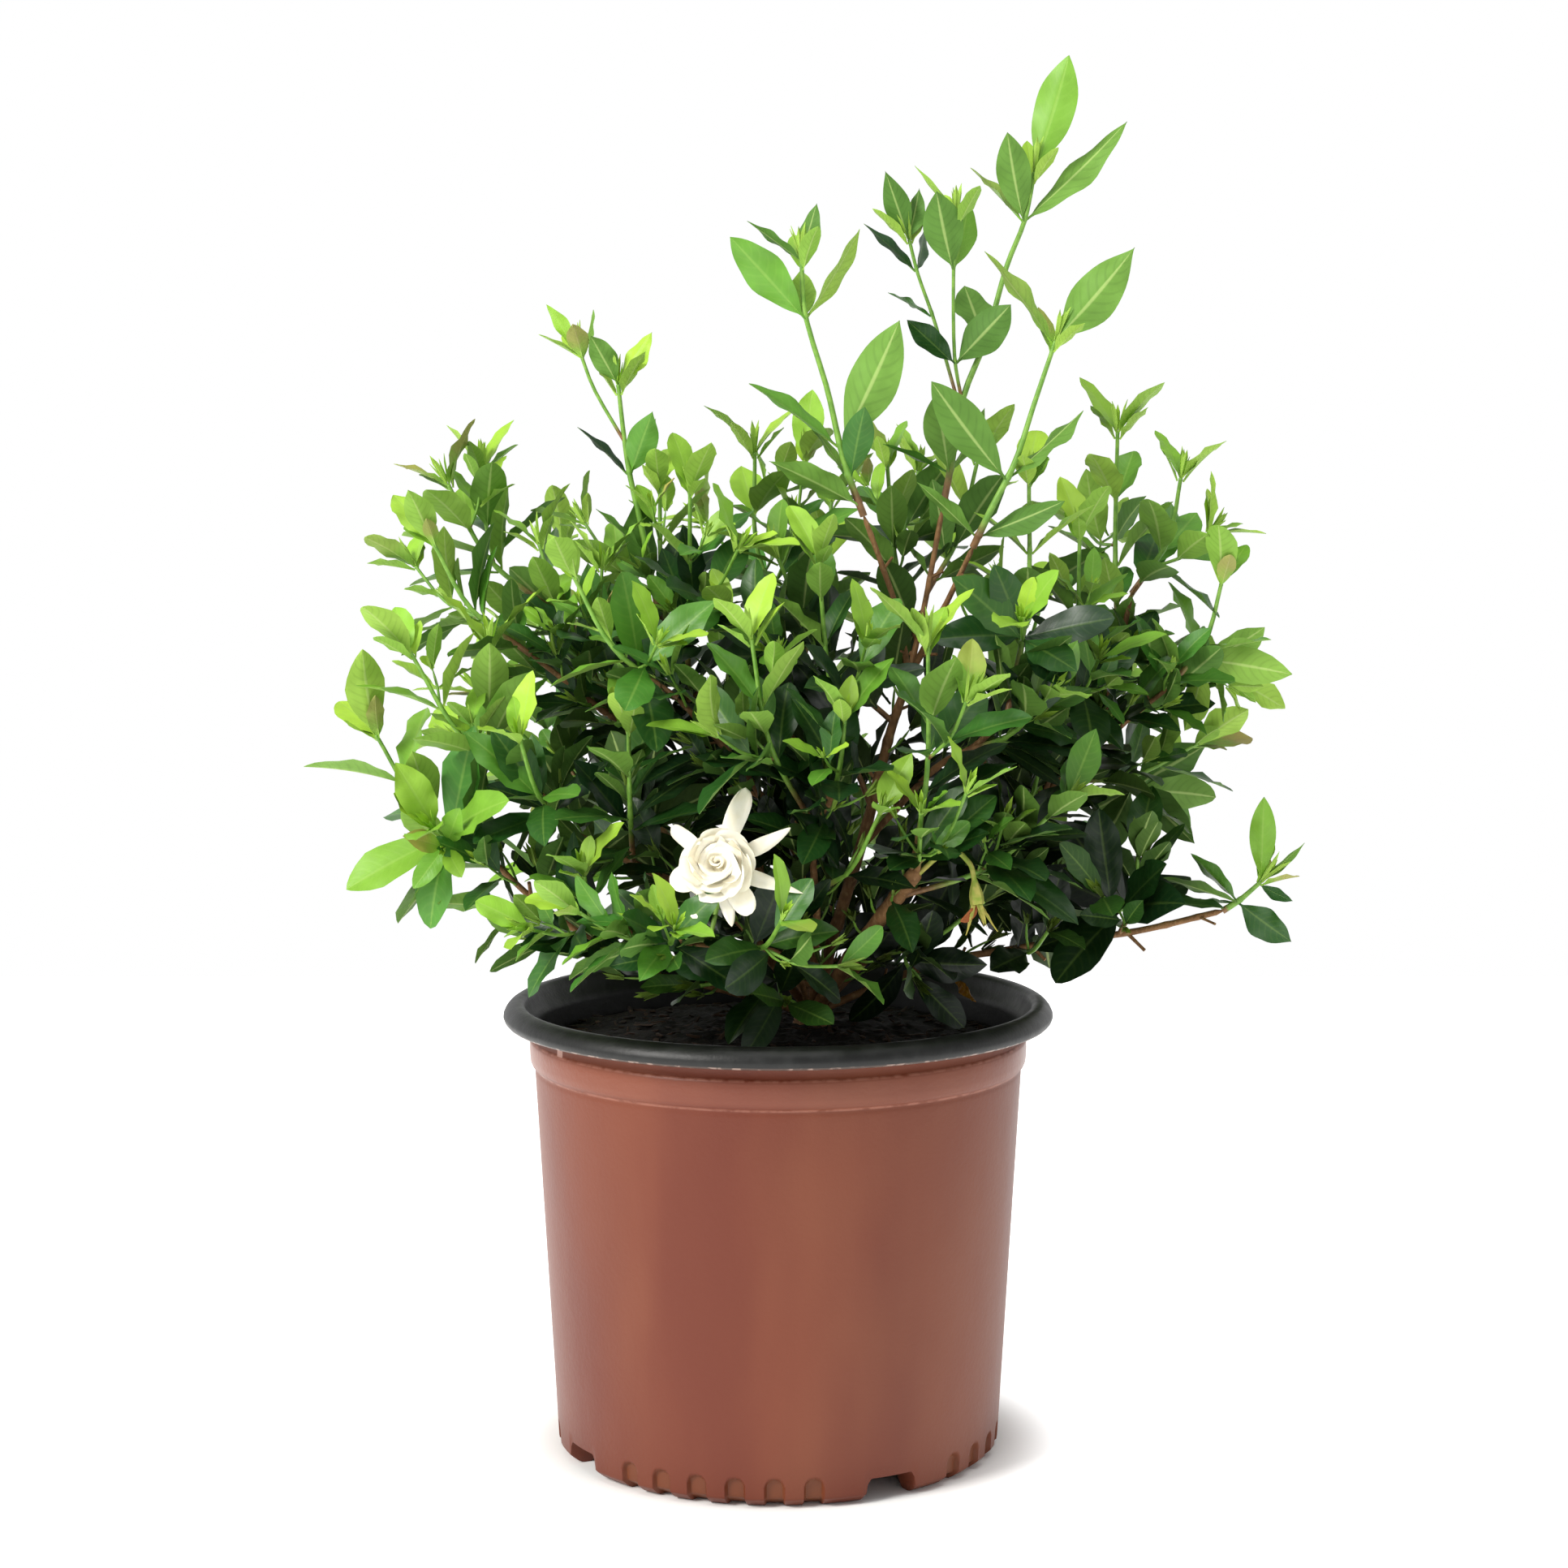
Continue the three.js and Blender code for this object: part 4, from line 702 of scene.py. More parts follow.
# The ways a leaf may be moved from its place: swing and lift in degrees, and share of its length.
LEAF_TRIES = [
    (0, 0, 1), (18, 0, 1), (-18, 0, 1), (0, 14, 1), (0, -12, 0.95), (30, 6, 0.92), (-30, 6, 0.92),
    (0, 26, 0.8),
]
ROOM_TRIES = ((0, 0), (24, -6), (-24, 8), (0, 22))
# Where a leaf's rings of points are along it, and the points of a ring across it.
LEAF_STATIONS = np.array([0, 0.05, 0.11, 0.2, 0.32, 0.45, 0.58, 0.71, 0.83, 0.92, 0.975, 1])
FINE_STATIONS = np.interp(np.linspace(0, 11, 23), np.arange(12), LEAF_STATIONS)
SMALL_STATIONS = np.array([0, 0.06, 0.14, 0.27, 0.43, 0.6, 0.76, 0.89, 0.97, 1])
TUFT_STATIONS = np.array([0, 0.3, 0.72, 1])
LEAF_ACROSS = np.array([1, 0.68, 0.34, 0, -0.34, -0.68, -1, -0.68, -0.34, 0, 0.34, 0.68])
LEAF_IS_TOP = np.arange(12) < 7
LEAF_SLOTS = np.array([1] * 6 + [2] * 6)
# What a drawn number is for.
TURN, STRAY, OPENING, LENGTH, WIDTH, CURL = range(6)
TUFT_TURN, TUFT_LEAN, TUFT_LENGTH = 20, 21, 22
AGE, TINT, FOLD, WAVE, PHASE, SWAY, FULLEST, TURNED_OVER, SHARP, DARK = range(30, 40)
HAS_SIDE, SIDE_REACH, HAS_TWIG, TWIG_TURN, TWIG_REACH = 40, 42, 50, 52, 54
# What no two leaves share: its drawn number, its least, and how far it varies.
UNEVEN = {
    "tint": (TINT, 0, 1), "fold": (FOLD, 0.12, 0.3), "wave": (WAVE, 0.03, 0.07), "phase": (PHASE, 0, 6.28),
    "fullest": (FULLEST, 0.48, 0.12), "sharp": (SHARP, 0.8, 0.28),
}
# The first number of each kind of stem, and of each kind of further leaf on a stem.
TALL_FIRST, SIDE_FIRST, TWIG_FIRST = 200, 1000, 3000
EXTRA_FIRST, TIP_FIRST = 50, 60
UP = np.array([0, 0, 1])
# How deep a place is in the bush, and the low skirt over the pot's mouth: this sets how much painted shade
# a leaf takes, and where further leaves go.
BUSH_MIDDLE, BUSH_REACH, BUSH_BELOW = np.array([40, 5, 290]), (225, 160, 230), 110
SKIRT_TOP, SKIRT_DEEP, SKIRT_MIDDLE, SKIRT_REACH = 304, 45, 70, 130
LOWEST_LEAF, OVERHANG = 264, 4
CAMERA_PLACE = np.array([3.1, -1707, 540])
BLOOM_CENTRE = np.array([-29, -122, 328])
Stem = namedtuple("Stem", "number node limb route thick size places leaves")


def draw(shoot, leaf, use):
    """A repeatable number from 0 to 1 for a shoot, one of its leaves and one use."""
    turns = 0.6180339887 * (shoot + 1) + 0.7548776662 * (leaf + 1) + 0.5698402910 * (use + 1)
    stirred = math.sin(turns * 91.7) * 4375.85
    return stirred - math.floor(stirred)


def turned(vector, axis, angle):
    """vector swung round axis by an angle in radians."""
    cos, sin = math.cos(angle), math.sin(angle)
    return vector * cos + np.cross(axis, vector) * sin + axis * np.dot(axis, vector) * (1 - cos)


def facing(way, along):
    """The way that a blade running along faces when it turns towards the given way."""
    return unit(way - along * np.dot(way, along))


def inner_share(place):
    """0 for what stands at the outside of the bush, up to 1 for what is deep inside it. The low leaves
    over the pot's mouth count as deep, so that they too take painted shade.
    """
    x, y, z = place - BUSH_MIDDLE
    wide, deep, high = BUSH_REACH
    reach = math.sqrt((x / wide) ** 2 + (y / deep) ** 2 + (z / (high if z > 0 else BUSH_BELOW)) ** 2)
    in_skirt = abs(place[0] - SKIRT_MIDDLE) < SKIRT_REACH
    low = min((SKIRT_TOP - place[2]) / SKIRT_DEEP, 0.8) if in_skirt else 0
    return min(max((0.98 - reach) / 0.42, low, 0), 1)


class Leaf:
    """A leaf as a thin closed blade: folded a little along its midrib, waved at its edges and
    drooping towards its tip. Its faces above and below have finishes of their own."""

    curl, fold, wave, phase, sway = 0.05, 0.25, 0.05, 0, 0
    fullest, sharp, thick, rib, turned_over = 0.52, 0.85, 0.45, 0.5, False

    def __init__(self, base, along, face, length, width, **bends):
        self.base, self.along, self.face, self.length, self.width = base, along, face, length, width
        self.set(**bends)

    def set(self, **bends):
        vars(self).update(bends)

    def at(self, share):
        droop = self.face * self.curl * self.length * share ** 2
        return self.base + self.along * self.length * share - droop

    def half_width(self, u):
        """Half the outline: a stalk, a blade that is widest part way, and a drawn-out tip."""
        share = np.clip((u - 0.045) / 0.955, 0, 1)
        fall = (1 - self.fullest) / self.fullest
        blade = share * (1 - share) ** fall / (self.fullest * (1 - self.fullest) ** fall)
        return self.width / 2 * np.maximum(blade ** self.sharp, np.where(u < 0.1, 0.07, 0.015))

    def dress(self, stem, index, age):
        """Gives the leaf its age, older deep in the bush and younger at its outside, partly real age and
        partly painted shade and light, and what no two leaves share.
        """
        inner = inner_share(self.base)
        age = age * (0.6 + 0.6 * inner) + 0.4 * inner + (draw(stem, index, AGE) - 0.5) * 0.3
        self.set(age=min(max(age, 0), 1), sway=(draw(stem, index, SWAY) - 0.5) * 0.12)
        for name, (use, least, spread) in UNEVEN.items():
            setattr(self, name, least + spread * draw(stem, index, use))
        return self

    def lay(self, shape, stations=LEAF_STATIONS):
        u, v = stations[:, None], LEAF_ACROSS[None, :]
        half = self.half_width(u)
        up = half * np.abs(v) * self.fold * (1 - 0.35 * np.abs(v))
        up = up + half * v ** 2 * self.wave * np.sin(self.phase + u * 15 + np.sign(v) * 1.3) * 2.2
        up = up - self.curl * self.length * u ** 2
        body = self.thick * (1.15 - np.abs(v) ** 2) * (1 - 0.5 * u)
        rib = self.rib * np.exp(-((v / 0.16) ** 2)) * (1 - u) ** 0.6
        up = up - np.where(LEAF_IS_TOP[None, :], 0.12 * rib, body + rib)
        sideways = half * v + self.sway * self.length * u ** 2
        side = np.cross(self.face, self.along)
        rings = self.base + self.along * (self.length * u)[..., None]
        rings = rings + side * sideways[..., None] + self.face * up[..., None]
        slots = 3 - LEAF_SLOTS if self.turned_over else LEAF_SLOTS
        # Painted shade: the deeper the leaf stands in the bush, the darker its colour is made.
        depth = inner_share(self.base + self.along * self.length * 0.6)
        carried = {"age": self.age, "tint": self.tint, "along": u, "across": np.abs(v), "depth": depth}
        shape.loft(rings, slots, True, **carried)


def leaf_on(route, t, shoot, index, quarter_turns, size, swing=0, lift=0, share=1):
    """A leaf of a pair, set as the solids have it: which quarter turn it takes round the stem,
    how far it swings and lifts from there, and what share of its length it keeps."""
    stray = (draw(shoot, index, STRAY) - 0.5) * 26 + swing
    turn = draw(shoot, 0, TURN) * 2 * math.pi + quarter_turns * math.pi / 2 + math.radians(stray)
    opening = math.radians(64 - 28 * t + (draw(shoot, index, OPENING) - 0.5) * 16 + lift)
    stem, out = route.frame(t)[0], route.out(t, turn)
    along = unit(swung(stem, out, opening) + UP * 0.1)
    length = size * (1.42 - 0.42 * t) * (0.86 + 0.28 * draw(shoot, index, LENGTH)) * share
    width = length * (0.4 + 0.09 * draw(shoot, index, WIDTH))
    curl = 0.06 + 0.14 * draw(shoot, index, CURL)
    face = facing(stem * 0.8 + UP * 0.5, along)
    return Leaf(route.at(t) + out * 1.1, along, face, length, width, curl=curl)


def reaching_leaf(root, reach, width, turn):
    """A leaf given by its reach from the stem, its width and its turn about its own length."""
    along = unit(np.array(reach, float))
    face = turned(facing(np.array([0, -1, 0]), along), along, math.radians(turn))
    return Leaf(root, along, face, math.hypot(*reach), width)


class Solid:
    """The points of one CAD solid, to find which of its possible stems and leaves it has."""

    def __init__(self, node):
        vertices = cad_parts[node].data.vertices
        self.tree = kdtree.KDTree(len(vertices))
        for i, vertex in enumerate(vertices):
            self.tree.insert(vertex.co * 1000, i)
        self.tree.balance()

    def near(self, point, reach):
        found, _, distance = self.tree.find(point)
        return np.array(found) if distance < reach else None

    def has_leaf(self, leaf):
        """True if the solid has this leaf, which is then moved to start where the solid's does."""
        tip = self.near(leaf.at(1), 2.4)
        if tip is None:
            return False
        leaf.base = leaf.base + tip - leaf.at(1)
        first, wide = (0.25, 0.7) if leaf.length > 46 else (0.36, 0.9)
        side = np.cross(leaf.face, leaf.along) * wide * leaf.width / 2
        return all(self.near(leaf.at(first) + edge, 0.25) is not None for edge in (side, -side))


class Crowd:
    """Where leaves already are, so that a further one goes only where there is room, and not
    before a thing that the photograph shows plainly."""

    def __init__(self, plain):
        self.spots = [np.zeros((1, 3))]
        self.plain = np.array([place for place, _ in plain])
        self.reach = np.array([reach for _, reach in plain])

    def spots_of(self, leaf):
        return leaf.at(np.array([0.4, 0.62, 0.82, 1])[:, None])

    def add(self, leaf):
        self.spots.append(self.spots_of(leaf))

    def has_room(self, leaf, clear):
        spots = self.spots_of(leaf)
        low, high = (np.array(corner) * 1000 for corner in cad_box)
        past = (spots < low - OVERHANG).any() or (spots > high + OVERHANG).any()
        if past or (spots[:, 2] < LOWEST_LEAF).any():
            return False
        sight = CAMERA_PLACE - self.plain
        sight = sight / np.linalg.norm(sight, axis=1)[:, None]
        offset = spots[:, None] - self.plain
        ahead = (offset * sight).sum(axis=2)
        beside = np.linalg.norm(offset - ahead[..., None] * sight, axis=2)
        if ((ahead > -0.37 * self.reach) & (beside < self.reach)).any():
            return False
        gaps = np.linalg.norm(np.concatenate(self.spots)[None] - spots[:, None], axis=2)
        return gaps.min() > clear


class LeafFinish(Finish):
    """A finish for a side of a leaf, by the leaf's age and tint, darkened as painted shade by how deep in
    the bush it is.
    """

    def __init__(self, name, specular, spots, rib_edge):
        super().__init__(name, specular)
        self.age, self.tint, along, across = map(self.value, ("age", "tint", "along", "across"))
        self.mottle = self.grain(spots, detail=1)
        veins = (along * 62 - across * 5 - across * across * 7).sine()
        self.vein = veins.rise(0.3, 1) * across.rise(0.95, 0.6)
        self.rib = across.rise(0.11, rib_edge)
        self.flush = self.tint.rise(0.84, 0.92) * self.age.rise(0.3, 0.1)
        self.flush = self.flush * (along + 0.6 * self.mottle).rise(0.4, 1)

    # Painted shade: darkens the colour the deeper the leaf stands in the bush.
    def paint_deep_shade(self, colour, strength):
        return self.shade(colour, strength * (1 - 0.81 * self.value("depth")))


def leaf_top():
    finish = LeafFinish("leaf_top", 0.38, 7, 0.02)
    age, tint, mottle = finish.age, finish.tint, finish.mottle
    young = finish.blend(tint.rise(0.2, 0.9), "9fc638", "83b833")
    grown = finish.blend(tint.rise(0.2, 0.8), "5b942b", "3f7a24")
    mature = finish.blend(tint.rise(0.2, 0.8), "204e18", "133716")
    green = finish.blend(age.rise(0.45, 0.85), finish.blend(age.rise(0.1, 0.5), young, grown), mature)
    green = finish.paint_deep_shade(green, 0.8 + 0.24 * mottle)
    green = finish.blend((finish.rib * 0.36 + finish.vein * 0.07) * (1.1 - 0.85 * age), green, "93b552")
    green = finish.blend(finish.flush * 0.6, green, "b07c56")
    relief = 0.3 * mottle - 0.4 * finish.vein - finish.rib
    return finish.coat(green, 0.46 - 0.14 * age + 0.1 * mottle, relief, 0.05)


def leaf_under():
    finish = LeafFinish("leaf_under", 0.2, 6, 0.03)
    young = finish.blend(finish.tint.rise(0.2, 0.8), "9abf4d", "87b246")
    mature = finish.blend(finish.tint.rise(0.2, 0.8), "69933b", "527b31")
    green = finish.blend(finish.age.rise(0.15, 0.7), young, mature)
    green = finish.paint_deep_shade(green, 0.84 + 0.2 * finish.mottle - 0.1 * finish.vein)
    green = finish.blend(finish.rib * 0.5, green, "aec377")
    green = finish.blend(finish.flush * 0.5, green, "a67c60")
    return finish.coat(green, 0.6, 0.2 * finish.mottle + 0.4 * finish.vein + 1.4 * finish.rib, 0.06)


def stem_green():
    finish = Finish("stem_green", 0.4)
    mottle = finish.grain(5)
    green = finish.blend(mottle.rise(0.35, 0.65), "5f8c30", "759f3d")
    brown = finish.blend(mottle.rise(0.35, 0.65), "684a2e", "84623e")
    colour = finish.blend(finish.value("age").rise(0.35, 0.75), green, brown)
    return finish.coat(colour, 0.5, finish.grain(4, (1, 1, 0.4), 1), 0.1)


def lay_stem(shape, route, thick, nodes, browning):
    """A round stem with a swollen ring at each pair of leaves, brown for a share of its length."""
    span = max(route.span(), 8)
    steps = {0, 1, *np.linspace(0, 1, max(6, int(span / 7)))}
    steps |= {t + shift / span for t in nodes for shift in (-1.6, -0.7, 0.5, 1.4)}
    steps = np.array(sorted(t for t in steps if 0 <= t <= 1))
    rows = []
    for t in steps:
        swell = sum(math.exp(-(((t - node) * span / 1.2) ** 2)) for node in nodes)
        radius = (thick[0] + (thick[1] - thick[0]) * t) * (1 + 0.22 * min(swell, 1))
        rows.append(route.ring(t, radius * (0.4 if t == 1 else 1), 8))
    ages = np.clip(1 - steps / max(browning, 0.01), 0, 1)
    shape.loft(np.array(rows), age=ages[:, None])


def lay_tuft(shape, route, stem, size):
    """The unopened leaves at a stem's tip: narrow, upright and bright."""
    for i in range(6):
        out = route.out(1, draw(stem, i, TUFT_TURN) * 1.2 + i * math.pi / 3)
        lean = 0.05 + 0.26 * draw(stem, i, TUFT_LEAN)
        along = unit(route.frame(1)[0] + out * lean + UP * 0.12)
        length = size * (0.28 + 0.24 * draw(stem, i, TUFT_LENGTH))
        bract = Leaf(route.at(1) + out * 0.4, along, -facing(out, along), length, length * 0.19)
        bract.set(curl=0.02, fold=0.5, age=0, tint=0.3, rib=0.2)
        bract.lay(shape, TUFT_STATIONS)


# The stems that the solids have. Of a stem's possible bows, the solid shows which it took.
stems, tall_stems = [], []


def bowed_route(root, tip, bow):
    chord = np.array(tip, float) - root
    reach = np.linalg.norm(chord) * (0.1 if bow < BOWS / 2 else 0.2)
    away = unit(np.array([0, 0, -1]) + chord * chord[2] / np.dot(chord, chord))
    away = turned(away, unit(chord), (bow % (BOWS / 2)) * math.pi / 4)
    return Route([root, root + chord / 2 + away * reach, tip])


def pair_places(span):
    count = min(max(math.floor(span / 35 + 0.5), 2), 3)
    return [0.42 + 0.58 * i / (count - 1) for i in range(count)]


def grown_route(solid, root, tip, thick, number):
    """The bow that this stem took in the solid, or None if it has no such stem: its tip's
    four corners tell."""
    turn = draw(number, 0, TURN) * 2 * math.pi - math.pi / 4
    for bow in range(BOWS):
        route = bowed_route(root, tip, bow)
        if all(solid.near(corner, 0.02) is not None for corner in route.ring(1, thick, 4, turn)):
            return route
    return None


def leaves_on(solid, route, number, size):
    """Every leaf that the solid has on this stem."""
    found = []
    for pair, t in enumerate(pair_places(route.span())):
        for half in (0, 1):
            for swing, lift, share in LEAF_TRIES:
                index = pair * 2 + half
                leaf = leaf_on(route, t, number, index, pair + half * 2, size, swing, lift, share)
                if solid.has_leaf(leaf):
                    found.append((index, t, leaf))
                    break
    return found


number = 0
for row, (limb, share, size, tip, *forks) in enumerate(SHOOTS):
    node = f"shoot_{row + 1:02d}"
    solid = Solid(node)
    main = grown_route(solid, place_on(limb, share), tip, 1, number)
    laid = [(main, (1.6, 1))]
    for i, (fork_at, fork_tip) in enumerate(forks):
        laid.append((grown_route(solid, main.at(fork_at), fork_tip, 0.9, number + 1 + i), (0.9, 0.85)))
    for route, thick in laid:
        if route is not None:
            places, leaves = pair_places(route.span()), leaves_on(solid, route, number, size)
            stems.append(Stem(number, node, limb, route, thick, size, places, leaves))
        number += 1

for name, laid in TALL_SHOOTS.items():
    node = f"shoot_{name}"
    solid, main = Solid(node), None
    for start, points, rows in laid:
        route = Route([main.at(start) if main else place_on(*start), *points])
        thick = (0.95, 0.9) if main else (1.9, 1.1)
        main = main or route
        leaves = [(j, t, reaching_leaf(route.at(t), *leaf)) for j, (t, *leaf) in enumerate(rows)]
        leaves = [found for found in leaves if solid.has_leaf(found[2])]
        places = sorted({t for t, *_ in rows})
        tall_stems.append(Stem(TALL_FIRST + len(tall_stems), node, None, route, thick, 38, places, leaves))

# Every stem and leaf is laid, then the bush is filled between them as the real one is: more
# pairs on each stem, short side shoots in the axils, and leaves on the thin brown wood.
PIECES = {
    "front_shoots": ("front", "frontLow", "frontLeft", "stump"),
    "left_shoots": ("left", "leftWide", "leftHigh", "leftMid", "leftLow"),
    "middle_shoots": ("leader", "leftTall", "tall", "midRight", "leftFork", "rightFork"),
    "right_shoots": ("right", "rightHigh", "rightWide", "rightLow"),
    "back_shoots": ("back", "backLeft", "backRight", "backLow"),
}
BARE_LIMBS = ("tall", "leftFork", "rightFork")
# The leaves of a side shoot: the share along it, quarter turns, and how much older than its tip.
SIDE_LEAVES = [(1, 0, 0), (1, 2, 0), (0.55, 1, 0.15), (0.55, 3, 0.15)]
# How far round each thing that shows plainly no further leaf may stand before it.
BLOOM_CLEAR, YELLOW_CLEAR, SPENT_CLEAR, LIMB_CLEAR = 38, 19, 22, 9
shapes = {name: Shape(stem_green(), leaf_top(), leaf_under()) for name in (*PIECES, "tall_shoots")}
shape_of = {limb: shapes[name] for name, limbs in PIECES.items() for limb in limbs}


def middle_of(name):
    return np.array(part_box(name)).mean(axis=0) * 1000


plain = [(BLOOM_CENTRE + [2, 0, 6], BLOOM_CLEAR), (middle_of("spent_bloom"), SPENT_CLEAR)]
plain += [(middle_of(name), YELLOW_CLEAR) for name in ("yellow_leaf_front", "yellow_leaf_right")]
for limb in ("leader", "stump", "midRight", "rightLow"):
    plain += [(place_on(limb, share), LIMB_CLEAR) for share in np.linspace(0.1, 1, 18)]
crowd = Crowd(plain)
for stem in stems + tall_stems:
    for _, _, leaf in stem.leaves:
        crowd.add(leaf)


def try_leaf(shape, route, t, stem, index, quarter_turns, size, age, clear=5.5):
    """Adds a leaf where there is room for it, swung a little aside if need be."""
    for swing, lift in ROOM_TRIES:
        leaf = leaf_on(route, t, stem, index, quarter_turns, size, swing, lift)
        if crowd.has_room(leaf, clear):
            crowd.add(leaf)
            leaf.dress(stem, index, age).lay(shape, SMALL_STATIONS)
            return


def side_shoot(shape, route, t, stem, turn, reach, size, age):
    """A short shoot in a leaf's axil, with a pair or two of small leaves and a tuft."""
    along, out = route.frame(t)[0], route.out(t, turn)
    heading = unit(along * 0.75 + out * 0.8 + UP * 0.15)
    root = route.at(t)
    twig = Route([root, root + heading * reach * 0.5 + out, root + heading * reach + along * 2])
    lay_stem(shape, twig, (0.75, 0.6), [0.55], 0)
    for index, (place, turns, older) in enumerate(SIDE_LEAVES):
        try_leaf(shape, twig, place, stem, index, turns, size, age + older, 4)
    lay_tuft(shape, twig, stem, size * 0.9)


for stem in stems:
    shape = shape_of[stem.limb]
    lay_stem(shape, stem.route, stem.thick, stem.places, 0.15 if stem.thick[0] < 1 else 0.55)
    lay_tuft(shape, stem.route, stem.number, stem.size)
    for index, t, leaf in stem.leaves:
        leaf.dress(stem.number, index, 1 - 0.78 * t).lay(shape)

for stem in tall_stems:
    shape, number = shapes["tall_shoots"], stem.number
    lay_stem(shape, stem.route, stem.thick, stem.places, 0.3)
    lay_tuft(shape, stem.route, number, stem.size)
    for index, t, leaf in stem.leaves:
        leaf.dress(number, index, 1.3 - 0.85 * t)
        leaf.set(fullest=0.44 + 0.1 * draw(number, index, FULLEST), sharp=1.08)
        leaf.turned_over = draw(number, index, TURNED_OVER) < 0.7
        if draw(number, index, DARK) < 0.32:
            leaf.set(age=0.85, turned_over=False)
        leaf.lay(shape, FINE_STATIONS)
    for half in (0, 1):
        try_leaf(shape, stem.route, 0.96, number, TIP_FIRST + half, half * 2 + 0.5, 24, 0.05, 2.5)

for stem in stems:
    shape, number, route = shape_of[stem.limb], stem.number, stem.route
    size, places = stem.size, stem.places
    for i, (low, high) in enumerate(zip([0.02, 0.2, *places], [0.2, *places])):
        middle = (low + high) / 2
        if inner_share(route.at(middle)) < 0.25 and middle > 0.25:
            continue
        for half in (0, 1):
            index, turns = EXTRA_FIRST + 2 * i + half, i + 0.5 + half * 2
            try_leaf(shape, route, middle, number, index, turns, size * 0.95, 1 - 0.7 * middle)
    for half in (0, 1):
        turns = len(places) + 1 + half * 2
        try_leaf(shape, route, 0.97, number, TIP_FIRST + half, turns, size * 0.62, 0.15, 4)
    for i, t in enumerate(places[:-1]):
        for half in (0, 1):
            if draw(number, i, HAS_SIDE + half) < 0.2 + 0.5 * inner_share(route.at(t)):
                turn = draw(number, 0, TURN) * 2 * math.pi + (i + half * 2 + 1) * math.pi / 2
                reach = 12 + 14 * draw(number, i, SIDE_REACH + half)
                side = SIDE_FIRST + number * 8 + i * 2 + half
                side_shoot(shape, route, t, side, turn, reach, size * 0.62, 0.3)

for number, (limb, route) in enumerate(limb_routes.items()):
    if limb in BARE_LIMBS:
        continue
    leafy_to = 0.45 if limb == "rightLow" else 0.98
    for i, t in enumerate(np.arange(0.16, leafy_to, 20 / route.span())):
        for half in (0, 1):
            if draw(number, i, HAS_TWIG + half) < 0.75:
                turn = draw(number, i, TWIG_TURN) * 6.28 + half * math.pi
                reach = 9 + 20 * draw(number, i, TWIG_REACH + half)
                twig = TWIG_FIRST + number * 40 + i * 2 + half
                side_shoot(shape_of[limb], route, t, twig, turn, reach, 30, 0.7)

for name, shape in shapes.items():
    nodes = {stem.node for stem in stems if shape_of[stem.limb] is shape}
    nodes |= {stem.node for stem in tall_stems if name == "tall_shoots"}
    shape.piece(name, "leaf", sorted(nodes), crease=60)

# The open flower: a tube that widens into long outer petals, each bent its own way, round a
# rosette of broad cupped ones, the inner of them wrapped round each other in the middle.
BLOOM_FACING = unit(np.array([-0.1, -0.93, 0.34]))
BLOOM_TOP = facing(UP, BLOOM_FACING)
# An outer petal is the angle round the face from the top, its lean from the axis, and length,
# width, twist, edge roll, bend back, where it is widest, and how its end narrows.
OUTER_TRAITS = ("length", "width", "twist", "roll", "curl", "widest", "end")
OUTER_PETALS = [
    (17, 82, 39, 14.5, -0.7, 1.1, 0.02, 0.78, (2.2, 0.5)),
    (62, 86, 38, 8.5, 0.9, 1.3, -0.1, 0.55, (1.5, 0.6)),
    (106, 92, 41, 9, -0.5, 0.9, 0.06, 0.42, (1.4, 0.85)),
    (143, 84, 26, 13, 0.3, 0.6, 0.1, 0.7, (2, 0.5)),
    (166, 88, 28, 8, -0.6, 0.8, 0.05, 0.6, (1.6, 0.7)),
    (-155, 86, 26, 11, 0.4, 0.5, 0.1, 0.7, (2, 0.5)),
    (-112, 80, 23, 15, 0.2, 0.4, 0.1, 0.7, (2, 0.5)),
    (-51, 84, 29, 10, -0.9, 1.2, 0.03, 0.8, (4, 0.5)),
]
# A row of cupped petals: how many, lean, length, width, bend back, cup, start, lip, edge roll.
CUPPED_ROWS = [
    (6, 77, 17, 20.5, -0.06, 0.22, 2.5, 0.5, 0.3), (6, 64, 16.5, 21, -0.12, 0.34, 2.6, 0.9, 0.3),
    (5, 50, 15.5, 20, -0.18, 0.46, 2.8, 1.2, 0),
]
# A row of wrapped petals: how many, radius, the angle each spans, height, flare.
WRAPPED_ROWS = [
    (4, 9.4, 62, 8, 4.4), (3, 6.7, 80, 9.6, 3.6), (3, 4, 95, 10.8, 2.6), (2, 1.7, 150, 11.4, 1.4),
]
# Where a petal's points are along it and across it, and which of them are on its underside.
PETAL_ALONG = np.array([0, 0.06, 0.14, 0.24, 0.36, 0.48, 0.6, 0.71, 0.8, 0.87, 0.93, 0.97, 1])[:, None]
PETAL_ACROSS = np.array([[
    1, 0.8, 0.55, 0.28, 0, -0.28, -0.55, -0.8, -1, -0.8, -0.55, -0.28, 0, 0.28, 0.55, 0.8,
]])
PETAL_IS_UNDER = (np.arange(16) > 8)[None, :]


def petal_white():
    finish = Finish("petal", 0.35)
    finish.set({"Subsurface Weight": 0.12, "Subsurface Radius": (0.004, 0.0035, 0.0025)})
    mottle = finish.grain(9)
    cream = finish.blend(mottle.rise(0.35, 0.65), "f6f1e2", "f0e9d4")
    warm = finish.blend(finish.value("along").rise(0.45, 0), cream, "efe4c2")
    veins = (finish.value("across") * 26 + 3 * mottle).sine().rise(0.5, 1)
    return finish.coat(finish.blend(veins * 0.05, warm, "e8ddbd"), 0.5, 0.5 * mottle + 0.1 * veins, 0.12)


